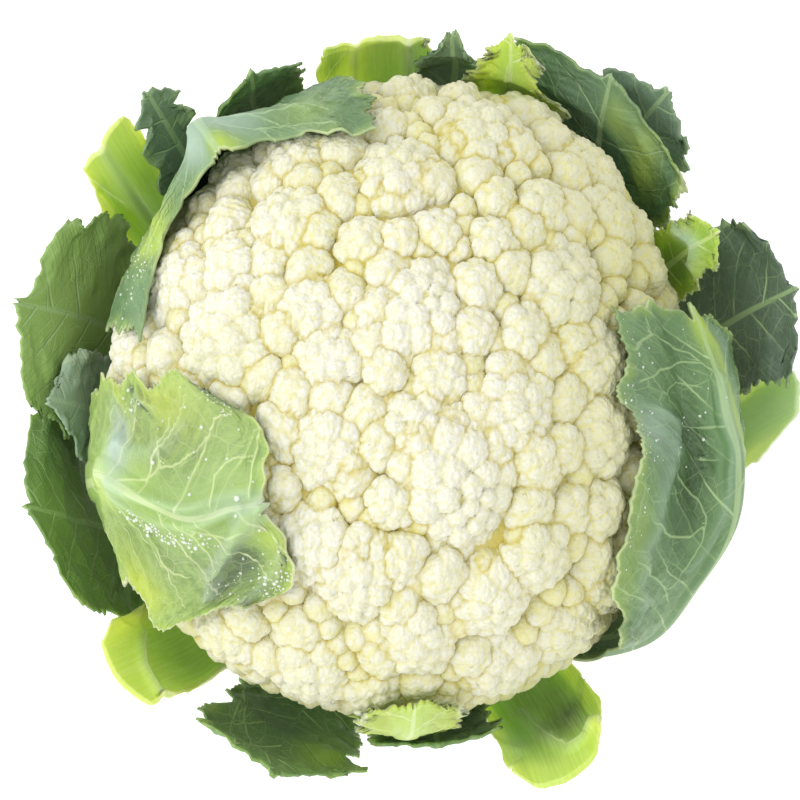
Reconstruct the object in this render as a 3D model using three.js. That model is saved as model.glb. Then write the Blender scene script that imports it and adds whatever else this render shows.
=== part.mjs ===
// A head of cauliflower: a domed curd of florets on a cut stem, with four whorls of leaves round it.
// Millimetres, +Z up. The origin is the middle of the stem's cut face, on which the head stands.
import * as THREE from "three";

// ---- Driving dimensions, in mm and degrees ----
const OVAL = { x: 0.955, y: 1.065 }; // the head is a little longer from front to back than across
const STEM = { radius: 20, height: 49.2, sides: 28 };
const CURD = { rise: 58, drop: 44, middle: [-3, 2, 90], proud: 2.7, core: 0.84, detail: 18 };
const CURD_RADII = [83, 88, 82, 77, 81.5, 85, 83, 87]; // at the rim, every 45 degrees from the right
const CROWDING = 0.3; // how far the mesh of the curd is drawn up to its top
const PATTERN_LEAN = 10; // the florets are laid out as seen from this far in front of straight above
const FLORET = { swell: 1.06, spread: 1.35 }; // a floret overlaps its neighbours and is wider than high
const LOBE = { radius: 6.6, pitch: 1.35, scatter: 1.2, ball: 0.78 }; // lobes that each floret divides into
const RIM_FLORETS = [ // rings of florets round the rim, where no other is in the way
  { count: 26, polar: 86, radius: 11, sink: 0 },
  { count: 24, polar: 101, radius: 11, sink: 4 },
];
const FILLER_FLORETS = { count: 170, radius: 8, sink: 1, lowest: 0.1 };
const CLOSEST = { rim: 0.72, filler: 0.45 }; // least distance apart, as a share of the sum of the radii
const BRANCHES = { count: 11, depth: 0.09, from: 112 }; // stalks under the curd, below this polar angle
const LEAF_FOCUS = 130; // leaves turn their inner faces to this height on the axis
const BLADE = 1.0; // thickness of a blade
const ROWS = 14; // cross-sections along a leaf
const FOLDED_ROWS = 22; // and along a leaf that is folded over the curd
const RIB_DEPTH = [6.5, 3.2, 1.6]; // thickness of a rib at the stem, the middle and the tip
const RIB_WIDTH = [11, 9, 4]; // width of a rib at the same places
const COLOURS = {
  curd: "#f1ecd3",
  stem: "#dbe2b8",
  dark: "#4a6b40",
  grey: "#7fa67c",
  light: "#9cbb62",
  bright: "#a3c053",
};
const MARGIN = { teeth: 1.6, waves: 1.1, ripples: 2.5, round: [0.07, 0.07], notch: 0.03 };

// Each floret: x to the right, y to the back, and radius.
const FLORETS = [
  [3, 82, 10], [17, 81, 7], [22, 67, 16], [53, 63, 13], [25, 53, 7], [37, 51, 9], [55, 48, 11],
  [69, 50, 9], [67, 37, 9], [0, 57, 13], [-26, 62, 12], [-44, 61, 9], [-27, 44, 14], [-45, 47, 8],
  [-44, 35, 9], [-9, 41, 8], [5, 22, 18], [10, 44, 7], [0, 43, 6], [20, 30, 8], [24, 41, 8],
  [41, 29, 14], [32, 18, 9], [19, 18, 7], [-57, 30, 12], [-23, 23, 11], [-42, 14, 17], [-68, 15, 12],
  [-75, 31, 8], [-18, 10, 11], [-18, -12, 13], [4, -7, 12], [-4, 8, 7], [10, 7, 9], [29, -3, 14],
  [54, 7, 13], [56, -14, 13], [45, 15, 8], [42, -12, 7], [20, -35, 21], [-2, -25, 8], [-1, -40, 9],
  [-22, -38, 13], [-11, -37, 8], [45, -27, 9], [-12, -56, 14], [53, -45, 11], [40, -48, 11],
  [56, -33, 9], [26, -58, 12], [5, -65, 13], [-23, -68, 15], [-48, -64, 12], [29, -74, 13],
  [48, -65, 12], [-7, -76, 10], [-31, -7, 8], [-60, -10, 14], [-60, -38, 14], [-42, -28, 12],
  [-40, -50, 12], [-74, -12, 10],
];

// A whorl: radius and height of a rib at six stations from the stem to the tip, and the gap to the curd.
const WHORLS = {
  outer: { r: [20.4, 45, 71, 88, 96, 104], z: [13, 17, 30, 54, 82, 102], gap: 14.4 },
  second: { r: [20.4, 44, 68, 86, 93, 98], z: [22, 27, 40, 62, 88, 106], gap: 10.4 },
  third: { r: [20.4, 43, 65, 82, 90, 96], z: [31, 37, 49, 70, 94, 112], gap: 6.4 },
  inner: { r: [20.4, 42, 62, 78, 86, 88], z: [41, 47, 58, 76, 98, 114], gap: 3.1 },
};

// Leaves. az is the azimuth at the six stations, or one for all. left is the blade's width on the side
// of rising azimuth and right on the other. rib is the rib's width at the stem, the middle and the tip.
// round is how far the left and right corners of the tip are rounded. A leaf that is folded over the
// curd has a net in place of az, widths, r and z: rows from the stem to the tip, each of five points
// (azimuth, radius, height) from the right margin over the rib to the left margin.
const LEAVES = [
  {
    name: "leaf_east_pale", whorl: "outer", colour: "light", az: [-23, -21, -14, -6, -1, 2],
    left: [6, 8, 12, 11, 9, 8], right: [6, 8, 12, 15, 12, 8], rib: [11, 14, 12],
    r: [20.4, 45, 71, 91, 102, 115], z: [13, 17, 30, 48, 69, 86],
  },
  {
    name: "leaf_east_dark", whorl: "outer", colour: "dark", az: [13, 13, 14, 14, 14, 14],
    left: [6, 8, 14, 22, 24, 15], right: [6, 8, 10, 12, 20, 20], r: [20.4, 45, 71, 90, 103, 117],
  },
  {
    name: "leaf_northeast_far", whorl: "outer", colour: "dark", az: [50, 49, 48, 47, 47, 46],
    left: [6, 8, 12, 16, 18, 14], right: [6, 8, 12, 16, 18, 12], r: [20.4, 45, 71, 90, 101, 112],
  },
  {
    name: "leaf_north_stalk", whorl: "second", colour: "light", az: [89, 89, 90, 91, 91, 91],
    left: [6, 10, 14, 20, 22, 20], right: [6, 10, 11, 10, 9, 9], rib: [11, 20, 15],
    r: [20.4, 44, 68, 84, 90, 94], z: [22, 27, 40, 62, 86, 102], round: [0, 0],
  },
  {
    name: "leaf_northwest_stalk", whorl: "outer", colour: "light", az: [142, 142, 142, 143, 143, 142],
    left: [6, 10, 12, 13, 12, 9], right: [6, 10, 12, 13, 12, 9], rib: [11, 19, 15],
    r: [20.4, 45, 71, 88, 98, 108], round: [0, 0],
  },
  {
    name: "leaf_west_low", whorl: "outer", colour: "dark", az: [198, 198, 198, 198, 197, 195],
    left: [6, 8, 15, 24, 27, 20], right: [6, 8, 16, 26, 29, 22], r: [20.4, 45, 71, 89, 98, 109],
  },
  {
    name: "leaf_south_dark", whorl: "outer", colour: "dark", az: [249, 249, 249, 249, 249, 250],
    left: [6, 8, 14, 18, 20, 12], right: [6, 8, 14, 20, 22, 20], r: [20.4, 45, 71, 85, 93, 102],
  },
  {
    name: "leaf_southeast_stalk", whorl: "outer", colour: "light", az: [298, 298, 298, 298, 297, 296],
    left: [6, 10, 13, 16, 15, 12], right: [6, 10, 13, 15, 15, 12], rib: [11, 20, 18],
    r: [20.4, 45, 71, 88, 97, 107],
  },
  {
    name: "leaf_north_small", whorl: "third", colour: "dark", az: [81, 81, 81, 80, 80, 81],
    left: [6, 7, 9, 11, 9, 3], right: [6, 7, 9, 9, 7, 3], r: [20.4, 43, 65, 82, 88, 94],
  },
  {
    name: "leaf_north_dark", whorl: "second", colour: "dark", az: [125, 124, 121, 118, 118, 117],
    left: [6, 8, 11, 12, 15, 12], right: [6, 8, 12, 15, 15, 11], r: [20.4, 44, 68, 83, 89, 94],
  },
  {
    name: "leaf_west_large", whorl: "second", colour: "dark", az: [163, 163, 163, 164, 166, 168],
    left: [6, 8, 16, 26, 29, 22], right: [6, 8, 16, 24, 26, 20], r: [20.4, 44, 68, 87, 98, 112],
  },
  {
    name: "leaf_southwest_stalk", whorl: "second", colour: "light", az: [224, 224, 224, 224, 223, 222],
    left: [6, 10, 12, 12, 12, 10], right: [6, 10, 14, 16, 15, 12], rib: [11, 20, 20],
    r: [20.4, 44, 68, 87, 97, 106], z: [22, 27, 40, 60, 80, 92],
  },
  {
    name: "leaf_south_edge", whorl: "third", colour: "dark", az: 277,
    left: [6, 8, 12, 16, 17, 14], right: [6, 8, 12, 16, 17, 14],
    r: [20.4, 44, 68, 80, 85, 87], z: [31, 36, 46, 60, 76, 90],
  },
  {
    name: "leaf_northeast_long", whorl: "third", colour: "grey", az: [45, 45, 46, 49, 52, 54],
    left: [6, 8, 13, 23, 32, 27], right: [6, 8, 13, 22, 32, 26],
    r: [20.4, 43, 65, 84, 95, 103], z: [31, 37, 49, 69, 90, 104],
  },
  {
    name: "leaf_northwest_dark", whorl: "third", colour: "dark", az: 133,
    left: [6, 8, 10, 11, 9, 6], right: [6, 8, 9, 8, 7, 5],
    r: [20.4, 43, 65, 84, 97, 106], z: [31, 36, 46, 65, 92, 112],
  },
  {
    name: "leaf_west_round", whorl: "third", colour: "grey", az: 180,
    left: [6, 8, 11, 14, 13, 6], right: [6, 8, 11, 14, 13, 6],
    r: [20.4, 43, 66, 84, 92, 100], z: [31, 36, 47, 66, 86, 98],
  },
  {
    name: "leaf_east_small", whorl: "inner", colour: "bright", az: [26, 26, 26, 26, 25, 24],
    left: [5, 7, 9, 10, 9, 5], right: [5, 7, 10, 10, 9, 6], r: [20.4, 42, 66, 84, 91, 98],
  },
  {
    name: "leaf_north_bright", whorl: "inner", colour: "bright", az: [69, 69, 69, 69, 69, 71],
    left: [5, 7, 10, 12, 10, 3], right: [5, 7, 10, 13, 12, 4], r: [20.4, 42, 64, 80, 88, 97],
  },
  {
    name: "leaf_northwest_fold", whorl: "inner", colour: "grey", rib: [11, 11, 7], round: [0, 0],
    net: [
      [[113, 20.4, 41], [120, 20.4, 41], [127, 20.4, 41], [134, 20.4, 41], [141, 20.4, 41]],
      [[116, 43, 47], [121, 43, 47], [127, 43, 47], [133, 43, 47], [138, 43, 47]],
      [[113, 66, 60], [120, 66, 59], [127, 66, 59], [134, 66, 59], [142, 66, 60]],
      [[109, 82, 82], [118, 81, 81], [127, 81, 82], [137, 82, 81], [147, 82, 82]],
      [[102, 81, 104], [114, 81, 103], [128, 84, 103], [144, 83, 101], [156, 82, 100]],
      [[97, 74, 120], [113, 77, 118], [130, 84, 116], [149, 81, 111], [167, 80, 106]],
      [[97, 60, 134], [114, 66, 129], [131, 74, 123], [149, 76, 119], [171, 70, 124]],
    ],
  },
  {
    name: "leaf_west_fold", whorl: "inner", colour: "bright", round: [0, 0],
    net: [
      [[178, 20.4, 41], [185, 20.4, 41], [192, 20.4, 41], [199, 20.4, 41], [206, 20.4, 41]],
      [[181, 44, 48], [186, 44, 48], [192, 44, 48], [198, 44, 48], [203, 44, 48]],
      [[181, 68, 62], [186, 68, 61], [192, 68, 61], [200, 68, 61], [209, 68, 62]],
      [[180, 81, 85], [185, 81, 84], [193, 82, 84], [203, 84, 84], [212, 86, 82]],
      [[180, 81, 102], [187, 82, 104], [195, 84, 106], [203, 87, 102], [212, 89, 97]],
      [[180, 80, 114], [188, 79, 118], [196, 84, 120], [204, 86, 116], [213, 90, 110]],
      [[181, 69, 126], [194, 66, 131], [211, 68, 133], [220, 75, 124], [222, 88, 109]],
      [[180, 60, 135], [194, 50, 140], [217, 56, 139], [229, 62, 133], [228, 76, 122]],
      [[189, 49, 141], [203, 39, 144.5], [224, 46, 143], [241, 58, 136], [236, 68, 130]],
    ],
  },
  {
    name: "leaf_south_frill", whorl: "inner", colour: "bright", az: [262, 264, 267, 270, 272, 273],
    left: [5, 6, 8, 10, 11, 9], right: [5, 6, 8, 10, 11, 9],
    r: [20.4, 42, 64, 77, 81, 78], z: [41, 47, 58, 74, 90, 104],
  },
  {
    name: "leaf_east_wrap", whorl: "inner", colour: "grey", rib: [14, 10, 3], round: [0, 0],
    net: [
      [[-66, 20.4, 41], [-61, 20.4, 41], [-56, 20.4, 41], [-49, 20.4, 41], [-42, 20.4, 41]],
      [[-62, 45, 49], [-59, 45, 48], [-55, 45, 47], [-50, 45, 47], [-46, 45, 48]],
      [[-57, 69, 64], [-54, 71, 60], [-50, 73, 57], [-45, 72, 56], [-40, 72, 57]],
      [[-47, 87, 93], [-43, 89, 84], [-39, 90, 74], [-35, 89, 67], [-32, 89, 62]],
      [[-45, 86, 110], [-36, 89, 99], [-29, 94, 90], [-25, 95, 82], [-22, 95, 75]],
      [[-37, 75, 119], [-27, 87, 105], [-20, 97, 100], [-16, 99, 91], [-14, 98, 82]],
      [[-17, 69, 124], [-14, 84, 105], [-11, 95, 106], [-8, 98, 97], [-6, 98, 88]],
      [[-9, 65, 127], [-7, 80, 108], [-5, 91, 110], [-2, 95, 102], [1, 96, 93]],
      [[0, 60, 132], [2, 74, 115], [4, 87, 112], [6, 92, 105], [8, 95, 98]],
      [[19, 62, 131], [17, 72, 123], [15, 83, 115], [14, 87, 110], [13, 91, 105]],
    ],
  },
];

const radians = THREE.MathUtils.degToRad;
const polar = (az, r, z) => new THREE.Vector3(r * Math.cos(radians(az)), r * Math.sin(radians(az)), z);
const noise = (n) => { // a fixed scatter between 0 and 1
  const s = Math.sin(n * 12.9898) * 43758.5453;
  return s - Math.floor(s);
};
const MIDDLE = new THREE.Vector3(...CURD.middle);

// A smooth line through evenly spaced points, and one through values.
const smooth = (points, closed = false) => new THREE.CatmullRomCurve3(points, closed, "catmullrom", 0.5);
const through = (values, closed) => smooth(values.map((v) => new THREE.Vector3(v, 0, 0)), closed);
const RIM_LINE = through(CURD_RADII, true);

// Distance from the curd's middle to its skin in a direction: two half domes on the curve of its rim.
function skin(direction) {
  const height = direction.z > 0 ? CURD.rise : CURD.drop;
  const across = Math.hypot(direction.x, direction.y);
  const turn = Math.atan2(direction.y, direction.x) / (2 * Math.PI);
  return 1 / Math.hypot(across / RIM_LINE.getPoint((turn + 1) % 1).x, direction.z / height);
}

// Directions spread evenly over a sphere from +Z down to the given lowest z, on a sunflower spiral.
function spiral(count, lowest) {
  return Array.from({ length: count }, (_, i) => {
    const z = 1 - ((1 - lowest) * (i + 0.5)) / count;
    const turn = i * Math.PI * (3 - Math.sqrt(5));
    const across = Math.sqrt(1 - z * z);
    return new THREE.Vector3(across * Math.cos(turn), across * Math.sin(turn), z);
  });
}

// ---- The curd ----
// How far out the middle of a floret's ball lies: its crest is on the skin, and proud of it at the rim.
const seat = (axis, radius) => skin(axis) - radius + CURD.proud * (1 - axis.z);

// The direction from the curd's middle of the ball that is seen at a place in the layout.
function floretDirection(x, y, radius) {
  const lean = radians(PATTERN_LEAN);
  const axis = new THREE.Vector3(0, 0, 1);
  for (let i = 0; i < 12; i++) {
    const reach = seat(axis, radius);
    const back = (y - reach * axis.z * Math.sin(lean)) / Math.cos(lean);
    axis.set(x / OVAL.x - MIDDLE.x, back / OVAL.y - MIDDLE.y, 0).divideScalar(reach);
    axis.clampLength(0, 0.985);
    axis.z = Math.sqrt(1 - axis.lengthSq());
  }
  return axis;
}

// All florets as {axis, radius, centre}, each with its crest on the skin or sunk a little below it.
function florets() {
  const made = [];
  const add = (axis, radius, sink) =>
    made.push({ axis, radius, centre: axis.clone().multiplyScalar(seat(axis, radius) - sink) });
  const open = (axis, radius, closest) =>
    made.every((f) => axis.angleTo(f.axis) * skin(axis) > closest * (f.radius + radius));
  FLORETS.forEach(([x, y, radius]) => add(floretDirection(x, y, radius), radius * FLORET.swell, 0));
  for (const { count, polar: down, radius, sink } of RIM_FLORETS) {
    for (let i = 0; i < count; i++) {
      const turn = (360 * (i + 0.4 * noise(i + down))) / count;
      const tilt = radians(down + 5 * (noise(i + 2 * down) - 0.5));
      const axis = polar(turn, Math.sin(tilt), Math.cos(tilt));
      const size = radius * (0.9 + 0.3 * noise(i + 3 * down));
      if (open(axis, size, CLOSEST.rim)) add(axis, size, sink);
    }
  }
  spiral(FILLER_FLORETS.count, FILLER_FLORETS.lowest).forEach((axis) => {
    const { radius, sink } = FILLER_FLORETS;
    if (open(axis, radius, CLOSEST.filler)) add(axis, radius, sink);
  });
  return made;
}

// The lobes of a floret, as spheres that stand out of it, spread round its axis.
function lobes(floret, index) {
  const size = LOBE.radius * (0.55 + (0.45 * floret.radius) / 14);
  const pitch = LOBE.pitch * size;
  const count = Math.round((2 * Math.PI * floret.radius ** 2 * 1.3) / (0.87 * pitch * pitch));
  const turn = new THREE.Quaternion().setFromUnitVectors(new THREE.Vector3(0, 0, 1), floret.axis);
  return spiral(count, -0.3).map((direction, i) => {
    const radius = size * (0.8 + 0.4 * noise(index * 57 + i));
    const out = floret.radius - radius - LOBE.scatter * noise(index * 91 + i);
    const spread = new THREE.Vector3(FLORET.spread, FLORET.spread, 1);
    const centre = direction.multiplyScalar(out).multiply(spread).applyQuaternion(turn).add(floret.centre);
    return { centre, radius };
  });
}

function curd() {
  const balls = florets().flatMap((floret, i) => [
    { centre: floret.centre, radius: floret.radius * LOBE.ball },
    ...lobes(floret, i),
  ]);
  const geometry = new THREE.IcosahedronGeometry(1, CURD.detail);
  const position = geometry.getAttribute("position");
  const direction = new THREE.Vector3();
  const reach = new Map();
  for (let i = 0; i < position.count; i++) {
    direction.fromBufferAttribute(position, i).normalize();
    const down = Math.acos(THREE.MathUtils.clamp(direction.z, -1, 1));
    const crowded = down - CROWDING * Math.sin(down);
    const turn = Math.atan2(direction.y, direction.x);
    direction.copy(polar(THREE.MathUtils.radToDeg(turn), Math.sin(crowded), Math.cos(crowded)));
    const key = [direction.x, direction.y, direction.z].map((c) => c.toFixed(4)).join();
    if (!reach.has(key)) reach.set(key, outline(direction, balls));
    const out = reach.get(key);
    const point = direction.clone().multiplyScalar(out).add(MIDDLE);
    position.setXYZ(i, point.x * OVAL.x, point.y * OVAL.y, Math.max(point.z, STEM.height + 0.4));
  }
  return geometry;
}

// Distance from the curd's middle to its outer surface: the furthest ball, the core, or the stalks.
function outline(direction, balls) {
  const down = THREE.MathUtils.radToDeg(Math.acos(THREE.MathUtils.clamp(direction.z, -1, 1)));
  const turn = Math.atan2(direction.y, direction.x);
  const under = THREE.MathUtils.smoothstep(down, BRANCHES.from - 8, BRANCHES.from + 8);
  const stalks = 1 - BRANCHES.depth * (1 - Math.cos(BRANCHES.count * turn)) * under;
  let out = skin(direction) * (CURD.core + (0.97 - CURD.core) * under) * stalks;
  for (const { centre, radius } of balls) {
    const along = direction.dot(centre);
    const inside = radius * radius - centre.lengthSq() + along * along;
    if (inside > 0) out = Math.max(out, along + Math.sqrt(inside));
  }
  return out;
}

// ---- The leaves ----
// The inner surface of a leaf, bent round the head: a point for a place along the rib (0 to 1), a side
// (1 left, -1 right), a share of the blade's width on that side (1 at the rib's edge, 2 at the margin)
// and a tooth in mm.
function leafSurface(leaf, phase) {
  const whorl = WHORLS[leaf.whorl];
  const { r = whorl.r, z = whorl.z } = leaf;
  const azimuth = Array.isArray(leaf.az) ? leaf.az : r.map(() => leaf.az);
  const rib = smooth(r.map((radius, i) => polar(azimuth[i], radius, z[i])));
  const widths = { 1: through(leaf.left), [-1]: through(leaf.right) };
  const ribWidth = through(leaf.rib ?? RIB_WIDTH);
  return (u, side, share, tooth) => {
    const here = rib.getPoint(u);
    const along = rib.getTangent(u);
    const inward = new THREE.Vector3(0, 0, LEAF_FOCUS).sub(here);
    inward.addScaledVector(along, -inward.dot(along)).normalize();
    const ribHalf = ribWidth.getPoint(u).x / 2;
    const edge = Math.max(widths[side].getPoint(u).x, ribHalf + 0.8);
    const blade = edge - ribHalf + tooth;
    const distance = share <= 1 ? ribHalf * share : ribHalf + blade * (share - 1);
    const free = THREE.MathUtils.smoothstep(u, 0.35, 0.8) * (share / 2) ** 2;
    const wave = MARGIN.waves * free * Math.sin(2 * Math.PI * (MARGIN.ripples * u + phase + 0.3 * side));
    const point = here.clone().addScaledVector(inward, wave);
    const turn = (side * distance) / Math.hypot(here.x, here.y);
    point.applyAxisAngle(new THREE.Vector3(0, 0, 1), turn);
    const gap = whorl.gap * THREE.MathUtils.smoothstep(u, 0.25, 0.5);
    return clearOfCurd(point, gap + 0.4 * wave);
  };
}

// The inner surface of a folded leaf, for the same values: smooth lines along the columns of its net,
// and a smooth line through those across the leaf.
function netSurface(leaf) {
  const columns = leaf.net[0].map((_, j) => smooth(leaf.net.map((row) => polar(...row[j]))));
  const ribWidth = through(leaf.rib ?? RIB_WIDTH);
  return (u, side, share, tooth) => {
    const line = columns.map((column) => column.getPoint(u));
    const [rib, middle, margin] = [line[2], line[2 + side], line[2 + 2 * side]];
    const width = rib.distanceTo(middle) + middle.distanceTo(margin);
    const ribHalf = ribWidth.getPoint(u).x / 2;
    const distance = share <= 1 ? ribHalf * share : ribHalf + (width - ribHalf) * (share - 1);
    const place = THREE.MathUtils.clamp(distance / width, 0, 1);
    const point = smooth(line).getPoint(0.5 + 0.5 * side * place);
    point.addScaledVector(margin.clone().sub(middle).normalize(), tooth * Math.max(share - 1, 0));
    return clearOfCurd(point, WHORLS[leaf.whorl].gap * THREE.MathUtils.smoothstep(u, 0.15, 0.3));
  };
}

// A point kept off the curd's skin by the gap at least.
function clearOfCurd(point, gap) {
  const arm = point.clone().sub(MIDDLE);
  const least = skin(arm.clone().normalize()) + gap;
  return arm.setLength(Math.max(arm.length(), least)).add(MIDDLE);
}

// A blade with a toothed margin and a rounded or cut tip, thick along the rib.
function leafBlade(leaf, number) {
  const surface = leaf.net ? netSurface(leaf) : leafSurface(leaf, noise(number));
  const rows = leaf.net ? FOLDED_ROWS : ROWS;
  const shares = [0, 1, 1.5, 2];
  const columns = [...shares.slice(1).reverse().map((s) => [-1, s]), ...shares.map((s) => [1, s])];
  const inner = [];
  for (let i = 0; i < rows; i++) {
    const t = i / (rows - 1);
    inner.push(columns.map(([side, share], j) => {
      const scatter = noise(number * 31 + i * 7.3 + j * 17) - 0.5;
      const zigzag = share === 2 && t > 0.4 ? (i % 2) - 0.5 + scatter : 0;
      const round = (leaf.round ?? MARGIN.round)[side > 0 ? 0 : 1] * (share / 2) ** 2;
      const notch = (i === rows - 1 ? MARGIN.notch : 0) * (scatter + 0.5);
      return surface(t * (1 - round) - notch, side, share, MARGIN.teeth * zigzag);
    }));
  }
  const thickness = through(RIB_DEPTH);
  const outer = inner.map((row, i) =>
    row.map((point, j) => {
      const above = inner[Math.min(i + 1, rows - 1)][j];
      const below = inner[Math.max(i - 1, 0)][j];
      const next = row[Math.min(j + 1, row.length - 1)];
      const last = row[Math.max(j - 1, 0)];
      const normal = next.clone().sub(last).cross(above.clone().sub(below)).normalize();
      const onRib = columns[j][1] === 0 ? 1 : columns[j][1] === 1 ? 0.45 : 0;
      const depth = BLADE + (thickness.getPoint(i / (rows - 1)).x - BLADE) * onRib;
      return point.clone().addScaledVector(normal, depth);
    }));
  return closedSheet(inner, outer);
}

// A closed solid between two grids of points, split into triangles alike on both faces.
function closedSheet(inner, outer) {
  const rows = inner.length;
  const across = inner[0].length;
  const points = [...inner.flat(), ...outer.flat()];
  const at = (face, i, j) => (face * rows + i) * across + j;
  const index = [];
  const quad = (a, b, c, d) => index.push(a, b, c, a, c, d);
  for (let i = 0; i + 1 < rows; i++) {
    for (let j = 0; j + 1 < across; j++) {
      index.push(at(0, i, j), at(0, i + 1, j), at(0, i + 1, j + 1));
      index.push(at(0, i, j), at(0, i + 1, j + 1), at(0, i, j + 1));
      index.push(at(1, i, j), at(1, i + 1, j + 1), at(1, i + 1, j));
      index.push(at(1, i, j), at(1, i, j + 1), at(1, i + 1, j + 1));
    }
    quad(at(0, i, 0), at(1, i, 0), at(1, i + 1, 0), at(0, i + 1, 0));
    quad(at(0, i + 1, across - 1), at(1, i + 1, across - 1), at(1, i, across - 1), at(0, i, across - 1));
  }
  for (let j = 0; j + 1 < across; j++) {
    quad(at(0, 0, j + 1), at(1, 0, j + 1), at(1, 0, j), at(0, 0, j));
    quad(at(0, rows - 1, j), at(1, rows - 1, j), at(1, rows - 1, j + 1), at(0, rows - 1, j + 1));
  }
  const coordinates = points.flatMap((p) => [p.x * OVAL.x, p.y * OVAL.y, p.z]);
  const geometry = new THREE.BufferGeometry();
  geometry.setAttribute("position", new THREE.Float32BufferAttribute(coordinates, 3));
  geometry.setIndex(index);
  geometry.computeVertexNormals();
  return geometry;
}

// ---- The stem ----
function stem() {
  const { radius, height, sides } = STEM;
  const profile = [[0, 0], [radius - 0.8, 0], [radius, 1], [radius, height - 3], [radius - 1.5, height],
    [0, height]];
  const points = profile.map(([r, z]) => new THREE.Vector2(r, z));
  return new THREE.LatheGeometry(points, sides).rotateX(Math.PI / 2).scale(OVAL.x, OVAL.y, 1);
}

// ---- The head ----
const head = new THREE.Group();
function addPiece(name, geometry, colour, roughness) {
  const material = new THREE.MeshStandardMaterial({ color: colour, roughness, metalness: 0 });
  const mesh = new THREE.Mesh(geometry, material);
  mesh.name = name;
  head.add(mesh);
}
addPiece("stem", stem(), COLOURS.stem, 0.6);
addPiece("curd", curd(), COLOURS.curd, 0.75);
LEAVES.forEach((leaf, i) => addPiece(leaf.name, leafBlade(leaf, i), COLOURS[leaf.colour], 0.55));

export default head;
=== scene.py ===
"""A head of cauliflower: a curd of florets, buds and grains, a cut stem, and veined leaves.

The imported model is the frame. Its curd, stem and leaves are replaced by finer surfaces of the same
form, worked out as whole arrays. Lengths are in millimetres until a mesh is made, in metres.
"""

import math

import bpy
import numpy as np
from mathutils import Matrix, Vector


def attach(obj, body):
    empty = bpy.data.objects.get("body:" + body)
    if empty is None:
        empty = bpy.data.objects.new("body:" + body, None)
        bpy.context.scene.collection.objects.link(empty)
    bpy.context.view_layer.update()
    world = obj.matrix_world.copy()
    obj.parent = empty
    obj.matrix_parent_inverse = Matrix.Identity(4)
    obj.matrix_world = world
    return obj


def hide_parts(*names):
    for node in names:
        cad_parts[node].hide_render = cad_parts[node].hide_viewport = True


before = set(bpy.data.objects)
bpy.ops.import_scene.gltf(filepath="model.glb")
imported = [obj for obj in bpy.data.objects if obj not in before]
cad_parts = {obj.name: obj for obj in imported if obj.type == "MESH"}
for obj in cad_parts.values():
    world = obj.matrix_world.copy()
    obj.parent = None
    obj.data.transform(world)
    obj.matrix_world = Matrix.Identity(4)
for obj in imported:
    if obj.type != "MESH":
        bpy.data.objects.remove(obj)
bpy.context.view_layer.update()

bl_info = {
    "name": "Cauliflower",
    "version": (1, 0, 0),
    "blender": (4, 5, 0),
    "location": "View3D > Sidebar > Cauliflower",
    "description": "Builds a head of cauliflower round its packed model",
    "category": "Add Mesh",
}

BODY = "root"
MM = 0.001

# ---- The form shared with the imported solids, in mm and degrees ----
OVAL = np.array([0.955, 1.065, 1.0])  # the head is a little longer from front to back than across
MIDDLE = np.array([-3.0, 2.0, 90.0])  # middle of the curd
CURD_RISE, CURD_DROP = 58.0, 44.0  # the dome's height over its rim, and the underside's depth
CURD_RADII = [83, 88, 82, 77, 81.5, 85, 83, 87]  # at the rim, every 45 degrees from the right
CORE_UNDER = 5.6  # how far under the skin the core between the florets lies
CORE_DRAWN_IN = 0.95  # its underside, over the skin's own distance
CURD_PROUD = 2.7  # how far the florets at the rim stand out of the skin
PATTERN_LEAN = math.radians(10)  # the florets are laid out as seen from this far in front of above
FLORET_SPREAD = np.array([1.37, 1.37, 1.0])  # a floret is wider than it is high
FLORET_SWELL = 1.06  # a laid-out floret's radius over the one in its row
FLORET_CORE = 0.87  # the ball under a floret's lobes over its radius
FLORET_ROOT = 0.62  # where a floret's root ends over its centre's distance
SMALL_STEP = 1.8  # mesh spacing of the rim's florets and the fillers over that of the laid-out ones
CAP_INNER, CAP_OUTER = math.radians(74), math.radians(100)  # how far down its sides a floret is shaped
LOBE_FINE, LOBE_GROWTH, LOBE_COARSE, LOBE_SWELL = 2.9, 0.4, 8.8, 0.64  # spacing, and radius over it
BUD_FINE, BUD_GROWTH, BUD_COARSE, BUD_SWELL = 1.5, 0.18, 2.5, 0.62
BUD_RISE = 0.3  # how far buds stand out of a lobe
PACKING = 0.87  # area that a point of a sunflower spiral takes over its spacing squared
RAYS_AT_ONCE = 1000  # worked out together, to spare memory
STEM_RADIUS, STEM_HEIGHT = 20.0, 49.2
LEAF_FOCUS = 130.0  # leaves turn their inner faces to this height on the axis
RIB_WIDTH = [11, 9, 4]  # at the stem, half way and at the tip
RIB_DEPTH = [6.5, 3.2, 1.6]
BLADE_THICK = 0.75
BLADE_LENGTH, TIP_WIDTH = 190, 64  # over which the margin's tears, teeth and waves are laid out
TOOTH_TURN = 2.1  # radians per mm: a tooth every 3 mm
BLADE_ROWS, BLADE_COLS, RIB_COLS = 78, 13, 6  # points along a blade, and across it on each side
ARC_STEPS = 200
VEIN_PITCH = 13  # between side veins
DROP_RINGS = [35, 70, 110]  # degrees from a drop's top to its rings of points
# stalks under the curd: how many, how deep the ripple that parts them is, and from which polar angle
BRANCHES, BRANCH_DEPTH, BRANCH_FROM = 11, 0.09, 112.0

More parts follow.
